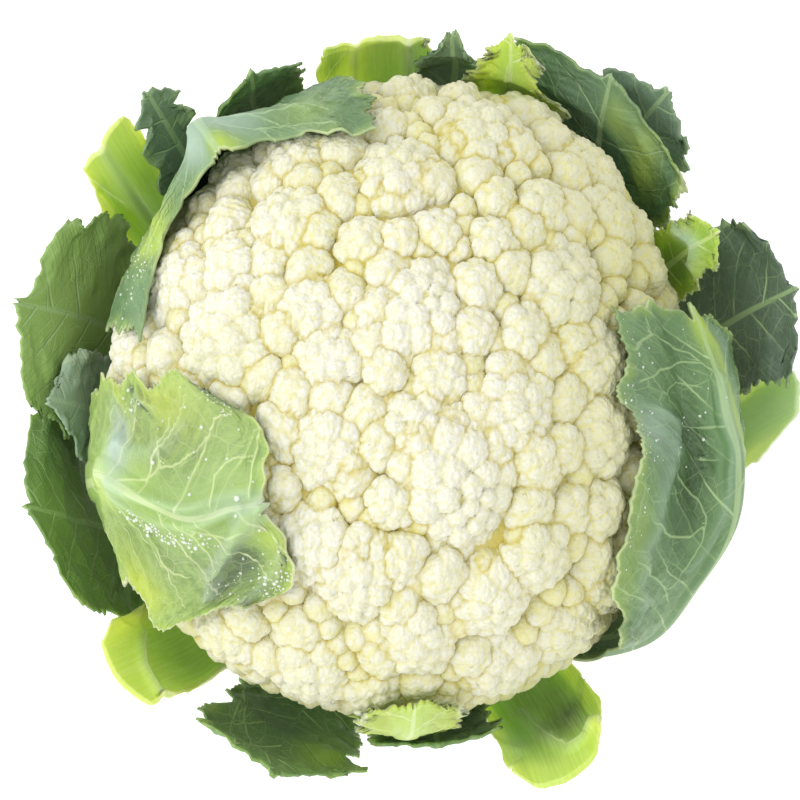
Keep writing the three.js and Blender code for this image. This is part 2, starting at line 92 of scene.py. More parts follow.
# Each floret: x to the right, y to the back, and radius.
FLORETS = [
    (3, 82, 10), (17, 81, 7), (22, 67, 16), (53, 63, 13), (25, 53, 7), (37, 51, 9), (55, 48, 11),
    (69, 50, 9), (67, 37, 9), (0, 57, 13), (-26, 62, 12), (-44, 61, 9), (-27, 44, 14), (-45, 47, 8),
    (-44, 35, 9), (-9, 41, 8), (5, 22, 18), (10, 44, 7), (0, 43, 6), (20, 30, 8), (24, 41, 8),
    (41, 29, 14), (32, 18, 9), (19, 18, 7), (-57, 30, 12), (-23, 23, 11), (-42, 14, 17),
    (-68, 15, 12), (-75, 31, 8), (-18, 10, 11), (-18, -12, 13), (4, -7, 12), (-4, 8, 7),
    (10, 7, 9), (29, -3, 14), (54, 7, 13), (56, -14, 13), (45, 15, 8), (42, -12, 7), (20, -35, 21),
    (-2, -25, 8), (-1, -40, 9), (-22, -38, 13), (-11, -37, 8), (45, -27, 9), (-12, -56, 14),
    (53, -45, 11), (40, -48, 11), (56, -33, 9), (26, -58, 12), (5, -65, 13), (-23, -68, 15),
    (-48, -64, 12), (29, -74, 13), (48, -65, 12), (-7, -76, 10), (-31, -7, 8), (-60, -10, 14),
    (-60, -38, 14), (-42, -28, 12), (-40, -50, 12), (-74, -12, 10),
]
RIM_FLORETS = [(26, 86.0, 11.0, 0.0), (24, 101.0, 11.0, 4.0)]  # count, polar angle, radius, sink
# count, radius, sink, lowest height on the unit sphere, and how close two may be over their radii
FILLERS = [(170, 8.0, 0.8, 0.1, 0.45), (1100, 4.8, 2.5, -0.05, 0.57)]
CLOSEST_RIM = 0.72

# A whorl: radius and height of a rib at six stations from the stem to the tip, and its gap to the curd.
WHORLS = {
    "outer": ([20.4, 45, 71, 88, 96, 104], [13, 17, 30, 54, 82, 102], 14.4),
    "second": ([20.4, 44, 68, 86, 93, 98], [22, 27, 40, 62, 88, 106], 10.4),
    "third": ([20.4, 43, 65, 82, 90, 96], [31, 37, 49, 70, 94, 112], 6.4),
    "inner": ([20.4, 42, 62, 78, 86, 88], [41, 47, 58, 76, 98, 114], 3.1),
}

# Creases that a leaf has both as a vein and as a ridge, as paths of (place along the rib, mm off it).
SOUTHEAST_FOLD = [(0.55, -4), (0.71, -2), (0.80, 0), (0.88, 3), (0.89, 7), (0.87, 14)]
SOUTHWEST_FOLD = [(0.74, -9), (0.79, -6), (0.85, 0), (0.90, 10)]
EAST_BEND = [(0.80, 6), (0.86, 1), (0.82, -5)]

# The brightness of tone and of kind-0 spots is painted light and shade, in places the leaf's own paler
# or darker green.
# Leaves. The imported leaf's own values are its whorl and colour, and at the six stations its azimuths,
# its widths to the left of the rib and, where they differ, to the right, and its own radii r and
# heights z. A folded leaf has a net in their place, with five points (azimuth, radius, height) across
# it at each station. rib is the rib's width, and round how much the corners of the tip are cut back.
# The finer values:
#   detail    how finely the blade is divided
#   ragged, teeth, waved    how strong the margin's tears, teeth and waves are
#   cup       how deep the blade is hollowed, in mm
#   stalk     1 on a thick stalk without side veins
#   bare      the share of the rib's side under which its pale line is left out
#   tone      how much brighter and waxier the whole blade is
#   mains     paths of the main veins
#   ridges    (height, reach, path) in mm
#   spots     (0 brighter or 1 waxier, how much, place along the rib, mm off it, reach along, across)
#   drops     (count, place along the rib, mm off it, reach along, across, radius) of water drops
LEAVES = {
    "leaf_east_pale": dict(
        stalk=1, teeth=0, ragged=0.3, waved=0.6, tone=(0.2, 0.6),
        whorl="outer", colour="light", az=[-23, -21, -14, -6, -1, 2], left=[6, 8, 12, 11, 9, 8],
        right=[6, 8, 12, 15, 12, 8], rib=[11, 14, 12], r=[20.4, 45, 71, 91, 102, 115],
        z=[13, 17, 30, 48, 69, 86]),
    "leaf_east_dark": dict(
        tone=(-1.0, 0.2),
        whorl="outer", colour="dark", az=[13, 13, 14, 14, 14, 14], left=[6, 8, 14, 22, 24, 15],
        right=[6, 8, 10, 12, 20, 20], r=[20.4, 45, 71, 90, 103, 117], detail=1.3),
    "leaf_northeast_far": dict(
        tone=(-0.6, 0.3),
        whorl="outer", colour="dark", az=[50, 49, 48, 47, 47, 46], left=[6, 8, 12, 16, 18, 14],
        right=[6, 8, 12, 16, 18, 12], r=[20.4, 45, 71, 90, 101, 112]),
    "leaf_north_stalk": dict(
        stalk=1, teeth=0, ragged=0.6, waved=0.8, tone=(0.7, 0.1),
        mains=[[(0.74, 20), (0.84, 16), (0.94, 13)], [(0.6, -3.4), (1, -3.4)], [(0.6, -4.4), (1, -4.4)],
               [(0.6, -5.4), (1, -5.4)]],
        ridges=[(1.5, 2.0, [(0.6, -4), (1, -4)]), (1.2, 1.2, [(0.6, 12), (1, 11)])],
        spots=[(0, 0.9, 0.85, 8, 30, 4), (0, 0.7, 0.85, 0, 30, 5),
               (0, -1.2, 0.85, 18, 30, 4), (0, -1.0, 0.85, -10, 30, 1.2)],
        whorl="second", colour="light", az=[89, 89, 90, 91, 91, 91], left=[6, 10, 14, 20, 22, 20],
        right=[6, 10, 11, 10, 9, 9], rib=[11, 20, 15], r=[20.4, 44, 68, 84, 90, 94],
        z=[22, 27, 40, 62, 86, 102], round=[0, 0]),
    "leaf_northwest_stalk": dict(
        stalk=1, teeth=0, ragged=0.2, waved=0.6, tone=(0.75, 0.05),
        mains=[[(0.80, 5), (0.99, 10)]],
        ridges=[(2.0, 2.0, [(0.5, 2), (0.99, 2)]), (-1.2, 1.0, [(0.72, 5), (0.90, 9)])],
        spots=[(0, 0.6, 0.97, 2, 6, 9), (0, -0.9, 0.82, 7, 10, 1), (0, 0.4, 0.8, 0, 20, 3),
               (1, 0.2, 0.8, 11, 16, 3)],
        whorl="outer", colour="light", az=[142, 142, 142, 143, 143, 142],
        left=[6, 10, 12, 13, 12, 9], rib=[11, 19, 15],
        r=[20.4, 45, 71, 88, 98, 108], round=[0, 0]),
    "leaf_west_low": dict(
        tone=(0.15, 0), spots=[(0, 0.3, 0.8, 0, 20, 20)],
        whorl="outer", colour="dark", az=[198, 198, 198, 198, 197, 195],
        left=[6, 8, 15, 24, 27, 20], right=[6, 8, 16, 26, 29, 22], r=[20.4, 45, 71, 89, 98, 109],
        detail=1.3),
    "leaf_south_dark": dict(
        mains=[
            [(0.45, -10), (0.58, -18), (0.66, -17), (0.72, -16), (0.94, -13)],
            [(0.62, -17), (0.70, -14), (0.78, -9), (0.95, -2)],
        ],
        bare=1.2, tone=(0.1, 0), spots=[(0, 0.5, 0.75, 12, 16, 8), (0, -0.3, 0.6, -4, 16, 8)],
        whorl="outer", colour="dark", az=[249, 249, 249, 249, 249, 250],
        left=[6, 8, 14, 18, 20, 12], right=[6, 8, 14, 20, 22, 20], r=[20.4, 45, 71, 85, 93, 102],
        detail=1.3),
    "leaf_southeast_stalk": dict(
        stalk=1, teeth=0, ragged=0.35, waved=0.6, cup=4.0, tone=(-0.08, 0),
        mains=[SOUTHEAST_FOLD], ridges=[(1.6, 1.6, SOUTHEAST_FOLD)],
        spots=[(0, 0.8, 0.95, 0, 9, 10), (0, -0.7, 0.70, 8, 16, 8), (1, 0.6, 0.68, -11, 14, 4),
               (0, 0.7, 0.90, -8, 7, 3)],
        whorl="outer", colour="light", az=[298, 298, 298, 298, 297, 296],
        left=[6, 10, 13, 16, 15, 12], right=[6, 10, 13, 15, 15, 12], rib=[11, 20, 18],
        r=[20.4, 45, 71, 88, 97, 107]),
    "leaf_north_small": dict(
        tone=(-0.3, 0.25), teeth=0.4,
        whorl="third", colour="dark", az=[81, 81, 81, 80, 80, 81], left=[6, 7, 9, 11, 9, 3],
        right=[6, 7, 9, 9, 7, 3], r=[20.4, 43, 65, 82, 88, 94]),
    "leaf_north_dark": dict(
        tone=(0.05, 0),
        whorl="second", colour="dark", az=[125, 124, 121, 118, 118, 117],
        left=[6, 8, 11, 12, 15, 12], right=[6, 8, 12, 15, 15, 11], r=[20.4, 44, 68, 83, 89, 94]),
    "leaf_west_large": dict(
        tone=(0.65, 0.15),
        whorl="second", colour="dark", az=[163, 163, 163, 164, 166, 168],
        left=[6, 8, 16, 26, 29, 22], right=[6, 8, 16, 24, 26, 20], r=[20.4, 44, 68, 87, 98, 112],
        detail=1.4),
    "leaf_southwest_stalk": dict(
        stalk=1, teeth=0, ragged=0.2, waved=0.6, cup=3.0, tone=(0.45, 0),
        mains=[SOUTHWEST_FOLD, [(0.57, 12), (0.66, 13), (0.75, 14)]],
        ridges=[(1.5, 1.5, SOUTHWEST_FOLD), (1.2, 1.5, [(0.57, 12), (0.75, 14)])],
        spots=[(0, 0.9, 0.93, -6, 9, 8), (0, 0.9, 0.95, 6, 5, 8), (0, 0.8, 0.78, -13, 10, 3),
               (0, -0.25, 0.66, 3, 14, 8)],
        whorl="second", colour="light", az=[224, 224, 224, 224, 223, 222],
        left=[6, 10, 12, 12, 12, 10], right=[6, 10, 14, 16, 15, 12], rib=[11, 20, 20],
        r=[20.4, 44, 68, 87, 97, 106], z=[22, 27, 40, 60, 80, 92]),
    "leaf_south_edge": dict(
        tone=(-0.1, 0),
        whorl="third", colour="dark", az=[277] * 6, left=[6, 8, 12, 16, 17, 14],
        r=[20.4, 44, 68, 80, 85, 87], z=[31, 36, 46, 60, 76, 90]),
    "leaf_northeast_long": dict(
        mains=[[(0.89, 23), (0.88, 21), (0.77, 13), (0.72, 7), (0.70, -1)]],
        spots=[(0, 0.8, 0.84, -4, 8, 6), (0, 0.8, 0.80, -16, 12, 6), (0, -0.5, 0.72, 0, 16, 14)],
        whorl="third", colour="grey", az=[45, 45, 46, 49, 52, 54], left=[6, 8, 13, 23, 32, 27],
        right=[6, 8, 13, 22, 32, 26], r=[20.4, 43, 65, 84, 95, 103], z=[31, 37, 49, 69, 90, 104],
        detail=1.4),
    "leaf_northwest_dark": dict(
        tone=(-0.35, 0.25), teeth=0,
        whorl="third", colour="dark", az=[133] * 6, left=[6, 8, 10, 11, 9, 6],
        right=[6, 8, 9, 8, 7, 5], r=[20.4, 43, 65, 84, 97, 106], z=[31, 36, 46, 65, 92, 112]),
    "leaf_west_round": dict(
        tone=(0.2, 0.6),
        whorl="third", colour="grey", az=[180] * 6, left=[6, 8, 11, 14, 13, 6],
        r=[20.4, 43, 66, 84, 92, 100], z=[31, 36, 47, 66, 86, 98]),
    "leaf_east_small": dict(
        mains=[EAST_BEND], ridges=[(2.5, 2.5, EAST_BEND)],
        spots=[(1, 0.5, 0.84, 3, 4, 4), (0, -0.4, 0.75, -4, 8, 4)], tone=(0.3, 0),
        whorl="inner", colour="bright", az=[26, 26, 26, 26, 25, 24], left=[5, 7, 9, 10, 9, 5],
        right=[5, 7, 10, 10, 9, 6], r=[20.4, 42, 66, 84, 91, 98]),
    "leaf_north_bright": dict(
        teeth=1.6, tone=(1.0, 0.1), mains=[[(0.55, 2), (0.63, 2), (0.87, 1)]],
        whorl="inner", colour="bright", az=[69, 69, 69, 69, 69, 71], left=[5, 7, 10, 12, 10, 3],
        right=[5, 7, 10, 13, 12, 4], r=[20.4, 42, 64, 80, 88, 97]),
    "leaf_northwest_fold": dict(
        whorl="inner", colour="grey", rib=[11, 11, 7], round=[0, 0], detail=2.2,
        mains=[
            [(0.84, -5), (0.86, -15), (0.84, -25), (0.89, -33)],
            [(0.88, -4), (0.93, -12), (0.98, -14)], [(0.93, -12), (0.94, -25), (0.97, -33)],
            [(0.84, 2), (0.87, 9), (0.89, 17), (0.84, 24), (0.90, 30), (0.98, 37)],
        ],
        ridges=[(4.5, 5.0, [(0.86, 1), (0.93, -1)]), (0.8, 1.2, [(0.90, 12), (0.91, 24), (0.93, 38)])],
        spots=[
            (0, 1.0, 0.965, -2, 4, 4), (1, -0.8, 0.965, -2, 4, 4), (0, 0.7, 0.9, 30, 12, 5),
            (0, 0.35, 0.88, -26, 8, 8), (0, 0.6, 0.86, 26, 14, 8), (0, 0.35, 0.89, 32, 8, 6),
            (0, 0.3, 0.82, 24, 8, 6), (1, 0.45, 0.87, 6, 8, 5), (1, 0.45, 0.86, -9, 8, 6),
            (0, -1.2, 0.87, 14, 1.2, 4),
        ],
        drops=[(70, 0.88, 36, 14, 6, 0.3), (20, 0.94, 42, 8, 5, 0.35)],
        net=[
            [(113, 20.4, 41), (120, 20.4, 41), (127, 20.4, 41), (134, 20.4, 41), (141, 20.4, 41)],
            [(116, 43, 47), (121, 43, 47), (127, 43, 47), (133, 43, 47), (138, 43, 47)],
            [(113, 66, 60), (120, 66, 59), (127, 66, 59), (134, 66, 59), (142, 66, 60)],
            [(109, 82, 82), (118, 81, 81), (127, 81, 82), (137, 82, 81), (147, 82, 82)],
            [(102, 81, 104), (114, 81, 103), (128, 84, 103), (144, 83, 101), (156, 82, 100)],
            [(97, 74, 120), (113, 77, 118), (130, 84, 116), (149, 81, 111), (167, 80, 106)],
            [(97, 60, 134), (114, 66, 129), (131, 74, 123), (149, 76, 119), (171, 70, 124)],
        ]),
    "leaf_west_fold": dict(
        whorl="inner", colour="bright", round=[0, 0], detail=2.3, ragged=1.2,
        mains=[
            [(0.66, -1), (0.70, -5), (0.74, -11), (0.79, -14), (0.84, -16)],
            [(0.82, -2), (0.84, -8), (0.86, -9), (0.90, -11), (0.95, -10)],
            [(0.93, -2), (0.94, -8), (0.99, -17)], [(0.73, -10), (0.75, -18), (0.78, -25)],
            [(0.74, 2), (0.77, 5), (0.80, 13)], [(0.77, 3), (0.84, 6), (0.89, 5)],
            [(0.64, 5), (0.67, 10), (0.69, 14), (0.71, 17), (0.75, 18)],
        ],
        ridges=[
            (1.4, 1.2, [(0.64, 1), (0.67, 1), (0.73, -2), (0.81, -3.5), (0.93, -3)]),
            (1.4, 1.2, [(0.64, 4), (0.66, 5), (0.71, 4), (0.79, 1.5), (0.90, 0)]),
            (4.0, 2.4, [(0.96, 1), (0.88, 5), (0.83, 10), (0.80, 16), (0.82, 24)]),
            (1.5, 2.5, [(0.64, -8), (0.72, -12), (0.8, -22)]),
            (1.3, 2.0, [(0.97, 8), (0.93, 20), (0.94, 30)]),
            (1.2, 2.0, [(0.67, -14), (0.7, -22), (0.76, -30)]),
        ],
        spots=[
            (0, 0.9, 0.66, 27, 7, 7), (0, 0.8, 0.70, 28, 8, 5), (0, 0.8, 0.65, -26, 7, 6),
            (0, 0.7, 0.78, -34, 9, 6), (0, 0.6, 0.79, -26, 8, 8), (0, 0.9, 0.63, 2, 5, 6),
            (0, 0.7, 0.95, 8, 6, 4), (0, -0.8, 0.875, 14, 4, 6), (0, -0.7, 0.84, 21, 3, 4),
            (0, -0.45, 0.93, 25, 8, 7), (1, 0.75, 0.645, -8, 6, 12), (1, 0.35, 0.88, -1, 22, 2.5),
            (0, -1.3, 0.71, -28, 2, 1.6), (0, -1.3, 0.73, -25, 2.5, 1.2), (0, 0.5, 0.97, 16, 4, 3),
            (0, -0.3, 0.76, 12, 16, 5),
        ],
        drops=[
            (60, 0.70, 7.5, 9, 1.6, 0.5), (30, 0.76, 6.5, 5, 1.5, 0.45), (22, 0.71, -24, 8, 6, 0.4),
            (20, 0.88, -28, 8, 8, 0.4), (5, 0.80, -8, 10, 8, 0.8), (4, 0.92, 4, 5, 6, 0.75),
            (45, 0.92, 18, 8, 5, 0.45), (25, 0.98, 20, 4, 6, 0.45), (30, 0.80, 0, 30, 24, 0.3),
        ],
        net=[
            [(178, 20.4, 41), (185, 20.4, 41), (192, 20.4, 41), (199, 20.4, 41), (206, 20.4, 41)],
            [(181, 44, 48), (186, 44, 48), (192, 44, 48), (198, 44, 48), (203, 44, 48)],
            [(181, 68, 62), (186, 68, 61), (192, 68, 61), (200, 68, 61), (209, 68, 62)],
            [(180, 81, 85), (185, 81, 84), (193, 82, 84), (203, 84, 84), (212, 86, 82)],
            [(180, 81, 102), (187, 82, 104), (195, 84, 106), (203, 87, 102), (212, 89, 97)],
            [(180, 80, 114), (188, 79, 118), (196, 84, 120), (204, 86, 116), (213, 90, 110)],
            [(181, 69, 126), (194, 66, 131), (211, 68, 133), (220, 75, 124), (222, 88, 109)],
            [(180, 60, 135), (194, 50, 140), (217, 56, 139), (229, 62, 133), (228, 76, 122)],
            [(189, 49, 141), (203, 39, 144.5), (224, 46, 143), (241, 58, 136), (236, 68, 130)],
        ]),
    "leaf_south_frill": dict(
        whorl="inner", colour="bright", az=[262, 264, 267, 270, 272, 273],
        left=[5, 6, 8, 11, 13, 12], r=[20.4, 42, 64, 79, 84, 78],
        z=[41, 47, 58, 76, 97, 117], teeth=1.8, tone=(0.9, 0.1)),
    "leaf_east_wrap": dict(
        whorl="inner", colour="grey", rib=[14, 10, 3], round=[0, 0], detail=2.2, teeth=0.75,
        mains=[
            [(0.88, -1), (0.92, -7), (0.94, -15), (0.95, -21), (0.97, -19)],
            [(0.95, -21), (0.93, -30)],
            [(0.90, -5), (0.91, -11), (0.90, -24), (0.88, -31)],
            [(0.86, -7), (0.88, -17), (0.86, -23)],
            [(0.71, -25), (0.66, -24), (0.62, -14), (0.59, -11), (0.56, -11), (0.52, -13), (0.46, -16)],
            [(0.60, -30), (0.58, -24), (0.57, -16), (0.58, -11)],
            [(0.55, -32), (0.51, -23), (0.44, -12)], [(0.77, -1), (0.79, -20)],
            [(0.69, -7), (0.70, -15)], [(0.53, -38), (0.49, -29)],
        ],
        ridges=[
            (1.3, 1.6, [(0.86, 1), (0.82, 1), (0.71, -1), (0.62, -3), (0.58, -5), (0.54, -8),
                        (0.51, -11)]),
            (1.4, 2.2, [(0.82, -27), (0.79, -22), (0.67, -27), (0.62, -28), (0.56, -31), (0.44, -26)]),
        ],
        spots=[
            (0, -0.55, 0.74, -15, 16, 7), (0, -0.5, 0.62, -20, 14, 6), (0, -0.4, 0.68, 2, 16, 2.5),
            (0, 0.8, 0.96, 0, 7, 3), (0, 0.7, 0.84, 3, 22, 2.5), (0, 0.5, 0.66, 6, 20, 3),
            (0, 0.3, 0.51, -36, 8, 6), (0, 0.3, 0.60, -35, 9, 5), (1, 0.3, 0.88, 8, 14, 4),
            (1, 0.5, 0.76, -31, 8, 6),
        ],
        drops=[
            (30, 0.95, -29, 5, 4, 0.3), (30, 0.78, -34, 14, 3, 0.3), (30, 0.62, -36, 14, 3, 0.3),
            (12, 0.75, -10, 30, 10, 0.35), (3, 0.79, -9, 3, 2, 0.6),
        ],
        net=[
            [(-66, 20.4, 41), (-61, 20.4, 41), (-56, 20.4, 41), (-49, 20.4, 41), (-42, 20.4, 41)],
            [(-62, 45, 49), (-59, 45, 48), (-55, 45, 47), (-50, 45, 47), (-46, 45, 48)],
            [(-57, 69, 64), (-54, 71, 60), (-50, 73, 57), (-45, 72, 56), (-40, 72, 57)],
            [(-47, 87, 93), (-43, 89, 84), (-39, 90, 74), (-35, 89, 67), (-32, 89, 62)],
            [(-45, 86, 110), (-36, 89, 99), (-29, 94, 90), (-25, 95, 82), (-22, 95, 75)],
            [(-37, 75, 119), (-27, 87, 105), (-20, 97, 100), (-16, 99, 91), (-14, 98, 82)],
            [(-17, 69, 124), (-14, 84, 105), (-11, 95, 106), (-8, 98, 97), (-6, 98, 88)],
            [(-9, 65, 127), (-7, 80, 108), (-5, 91, 110), (-2, 95, 102), (1, 96, 93)],
            [(0, 60, 132), (2, 74, 115), (4, 87, 112), (6, 92, 105), (8, 95, 98)],
            [(19, 62, 131), (17, 72, 123), (15, 83, 115), (14, 87, 110), (13, 91, 105)],
        ]),
}


# ---- Arithmetic ----
def noise(n):
    """The fractional part of a large multiple of a sine: a fixed scatter between 0 and 1."""
    s = np.sin(np.asarray(n, float) * 12.9898) * 43758.5453
    return s - np.floor(s)


def on_sphere(down, turn):
    """Directions at an angle down from +Z and a turn round it."""
    return np.stack([np.sin(down) * np.cos(turn), np.sin(down) * np.sin(turn), np.cos(down)], -1)


def unit(v):
    """Vectors divided by their lengths."""
    return v / np.linalg.norm(v, axis=-1, keepdims=True)


def smooth(low, high, x):
    """0 below low, 1 above high, and 3t^2 - 2t^3 between them."""
    t = np.clip((x - low) / (high - low), 0, 1)
    return t * t * (3 - 2 * t)


def polar(degrees, radius, height):
    """Points at an azimuth, a radius and a height."""
    a = np.radians(degrees)
    return np.stack(np.broadcast_arrays(radius * np.cos(a), radius * np.sin(a), height), -1)


def carried_on(p):
    """Values with one more at each end, in line with the last two."""
    return np.concatenate([2 * p[:1] - p[1:2], p, 2 * p[-1:] - p[-2:-1]])


def between(a, b, c, d, t):
    """The Catmull-Rom cubic from b, where t is 0, to c, where t is 1."""
    return b + 0.5 * t * (c - a + t * (2 * a - 5 * b + 4 * c - d + t * (3 * (b - c) + d - a)))


def spline(values, u):
    """A Catmull-Rom line through evenly spaced values, its ends carried straight on."""
    p = np.asarray(values, float)
    q = carried_on(p)
    s = np.clip(u, -0.03, 1.03) * (len(p) - 1)
    i = np.clip(np.floor(s).astype(int), 0, len(p) - 2)
    t = (s - i).reshape(s.shape + (1,) * (p.ndim - 1))
    return between(q[i], q[i + 1], q[i + 2], q[i + 3], t)


def ripple(x, y, seed, scale):
    """A smooth scatter from -1 to 1: the mean of sines that run in seeded directions."""
    total = np.zeros(np.broadcast(x, y).shape)
    for k in range(6):
        turn, shift, size = noise(seed * 17 + k * 3 + np.arange(3))
        wave = (0.6 + 0.8 * size) * 2 * np.pi / scale
        total += np.sin(wave * (x * np.cos(7 * turn) + y * np.sin(7 * turn)) + 9 * shift)
    return total / 3


def sunflower(i):
    """The turn of the points of a sunflower spiral: each is a golden angle past the last."""
    return i * np.pi * (3 - math.sqrt(5))


def spiral(count, lowest):
    """Directions spread evenly over a sphere from +Z down to a height, on a sunflower spiral."""
    i = np.arange(count)
    z = 1 - (1 - lowest) * (i + 0.5) / count
    turn = sunflower(i)
    across = np.sqrt(1 - z * z)
    return np.stack([across * np.cos(turn), across * np.sin(turn), z], -1)


def turning(axis):
    """The least rotation that takes +Z to an axis, as a matrix for row vectors on its right."""
    x, y, z = axis
    cross = np.array([[0, 0, x], [0, 0, y], [-x, -y, 0]], float)
    return (np.eye(3) + cross + cross @ cross / (1 + z)).T


# ---- The curd ----
def skin(directions):
    """Distance from the curd's middle to its skin: two half domes on the closed curve of its rim."""
    height = np.where(directions[..., 2] > 0, CURD_RISE, CURD_DROP)
    across = np.hypot(directions[..., 0], directions[..., 1])
    turn = np.arctan2(directions[..., 1], directions[..., 0]) / (2 * np.pi) % 1
    rim = spline(CURD_RADII[-1:] + CURD_RADII + CURD_RADII[:2], (1 + 8 * turn) / 10)
    return 1 / np.hypot(across / rim, directions[..., 2] / height)


def seat(axis, radius):
    """How far out a floret's ball lies: its crest is on the skin, and proud of it at the rim."""
    return skin(axis) - radius + CURD_PROUD * (1 - axis[..., 2])


def floret_axis(x, y, radius):
    """The direction of the ball that is seen at a place in the layout, found in a few rounds."""
    axis = np.array([0.0, 0.0, 1.0])
    for _ in range(12):
        reach = seat(axis, radius)
        back = (y - reach * axis[2] * math.sin(PATTERN_LEAN)) / math.cos(PATTERN_LEAN)
        flat = np.array([x / OVAL[0] - MIDDLE[0], back / OVAL[1] - MIDDLE[1]]) / reach
        flat *= min(1, 0.985 / np.linalg.norm(flat))
        axis = np.array([*flat, math.sqrt(1 - flat @ flat)])
    return axis


def floret_list():
    """All florets as rows of axis, radius and depth below the skin: laid out, on the rim, fillers."""
    axes, radii, sinks = [], [], []

    def add(axis, radius, sink):
        axes.append(axis)
        radii.append(radius)
        sinks.append(sink)

    def is_open(axis, radius, closest):
        angle = np.arccos(np.clip(np.array(axes) @ axis, -1, 1))
        return bool(np.all(angle * skin(axis) > closest * (np.array(radii) + radius)))

    for x, y, radius in FLORETS:
        add(floret_axis(x, y, radius), radius * FLORET_SWELL, 0.0)
    for count, down, radius, sink in RIM_FLORETS:
        for i in range(count):
            turn = 360 * (i + 0.4 * noise(i + down)) / count
            tilt = math.radians(down + 5 * (noise(i + 2 * down) - 0.5))
            axis = polar(turn, math.sin(tilt), math.cos(tilt))
            size = radius * (0.9 + 0.3 * noise(i + 3 * down))
            if is_open(axis, size, CLOSEST_RIM):
                add(axis, size, sink)
    for count, radius, sink, lowest, closest in FILLERS:
        for axis in spiral(count, lowest):
            if is_open(axis, radius, closest):
                add(axis, radius, sink)
    axes, radii, sinks = np.array(axes), np.array(radii), np.array(sinks)
    centres = axes * (seat(axes, radii) - sinks)[:, None]
    return axes, radii, centres


def growing_spiral(ball, widest, near, growth, far):
    """Directions round +Z over a ball down to an angle, on a sunflower spiral whose spacing is near at
    the middle, grows with the distance along the ball, and stops growing at far. Returns the directions
    and the spacing at each: the running count is the area so far over the area that each one takes."""
    angle = np.linspace(0, widest, 400)
    spacing = np.minimum(near + growth * angle * ball, far)
    rings = 2 * np.pi * ball**2 * np.sin(angle) / (PACKING * spacing**2)
    count = np.concatenate([[0], np.cumsum((rings[1:] + rings[:-1]) / 2 * np.diff(angle))])
    i = np.arange(max(1, int(count[-1])))
    down = np.interp(i + 0.5, count, angle)
    return on_sphere(down, sunflower(i)), np.interp(down, angle, spacing)


def lobe_balls(index, radius):
    """The lobes of a floret about its own centre and +Z: finest at the crown and coarser down its
    sides, all within the ball and spread sideways as the floret is."""
    coarse = LOBE_COARSE * (0.6 + 0.4 * radius / 14)
    ring, pitch = growing_spiral(radius, math.radians(106), LOBE_FINE, LOBE_GROWTH, coarse)
    i = np.arange(len(ring))
    radii = LOBE_SWELL * pitch * (0.82 + 0.36 * noise(index * 57 + i))
    out = radius - radii - 0.35 * radii * noise(index * 91 + i)
    return ring * out[:, None] * FLORET_SPREAD, radii


def bud_balls(centres, radii, seed):
    """The buds over each lobe: balls on a growing spiral round the line from the floret's centre
    through the lobe. Those buried in another lobe are left out."""
    made, sizes = [], []
    for k, (centre, radius) in enumerate(zip(centres, radii)):
        ring, pitch = growing_spiral(radius, math.radians(100), BUD_FINE, BUD_GROWTH, BUD_COARSE)
        spin = 2 * np.pi * noise(seed + k * 5.1)
        cs, sn = math.cos(spin), math.sin(spin)
        ring = ring @ np.array([[cs, sn, 0], [-sn, cs, 0], [0, 0, 1]]) @ turning(unit(centre + 1e-6))
        size = BUD_SWELL * pitch * (0.85 + 0.3 * noise(seed + 3 * k + np.arange(len(ring)) * 1.7))
        place = centre + ring * (radius - 0.6 * size)[:, None]
        others = np.delete(np.arange(len(radii)), k)
        apart = np.linalg.norm(place[:, None] - centres[others], axis=-1) - radii[others]
        keep = apart.min(1) > -0.35 * BUD_FINE
        made.append(place[keep])
        sizes.append(size[keep])
    return np.concatenate(made).astype(np.float32), np.concatenate(sizes).astype(np.float32)


def reach_of_balls(directions, centres, radii):
    """How far each ray from the origin goes before it leaves the last ball, and how much nearer the
    second ball's surface lies: the root of the ray and sphere equation, the greatest over all balls."""
    best = np.zeros(len(directions), np.float32)
    second = np.zeros(len(directions), np.float32)
    room = radii**2 - (centres**2).sum(1)
    for start in range(0, len(directions), RAYS_AT_ONCE):
        along = directions[start:start + RAYS_AT_ONCE] @ centres.T
        inside = room + along**2
        reach = np.where(inside > 0, along + np.sqrt(np.maximum(inside, 0)), 0)
        top = np.partition(reach, -2, axis=1)[:, -2:]
        best[start:start + RAYS_AT_ONCE] = top[:, 1]
        second[start:start + RAYS_AT_ONCE] = top[:, 0]
    return best, best - second


def cap_directions(n, widest):
    """A square grid of directions over a cap about +Z: concentric squares become circles of the same
    area, and the disc is laid on the sphere with its areas kept."""
    side = np.linspace(-1, 1, n)
    a, b = np.meshgrid(side, side, indexing="ij")
    wide = np.abs(a) > np.abs(b)
    radius = np.where(wide, a, b)
    angle = np.where(wide, np.pi / 4 * b / a, np.pi / 2 - np.pi / 4 * a / b)
    half = np.abs(radius) * math.sin(widest / 2)
    across = np.sign(radius) * 2 * half * np.sqrt(1 - half**2)
    return np.stack([across * np.cos(angle), across * np.sin(angle), 1 - 2 * half**2], -1)


def grid_faces(rows, cols, offset=0):
    """Quads of a grid of rows by cols vertices."""
    k = np.arange(rows * cols).reshape(rows, cols) + offset
    return np.stack([k[:-1, :-1], k[1:, :-1], k[1:, 1:], k[:-1, 1:]], -1).reshape(-1, 4)


def closed_form(first, rings, last):
    """A closed surface from rings of points, from the top down, with a point at either end. Returns its
    points, and its faces as quads between the rings and fans at the ends."""
    rows, cols = rings.shape[:2]
    k = 1 + np.arange(rows * cols).reshape(rows, cols)
    after = np.roll(k, -1, axis=1)
    quads = np.stack([k[:-1], k[1:], after[1:], after[:-1]], -1).reshape(-1, 4)
    top = np.stack([np.zeros(cols, int), k[0], after[0]], -1)
    foot = np.stack([np.full(cols, rows * cols + 1), after[-1], k[-1]], -1)
    return np.vstack([first, rings.reshape(-1, 3), last]), [quads, np.vstack([top, foot])]


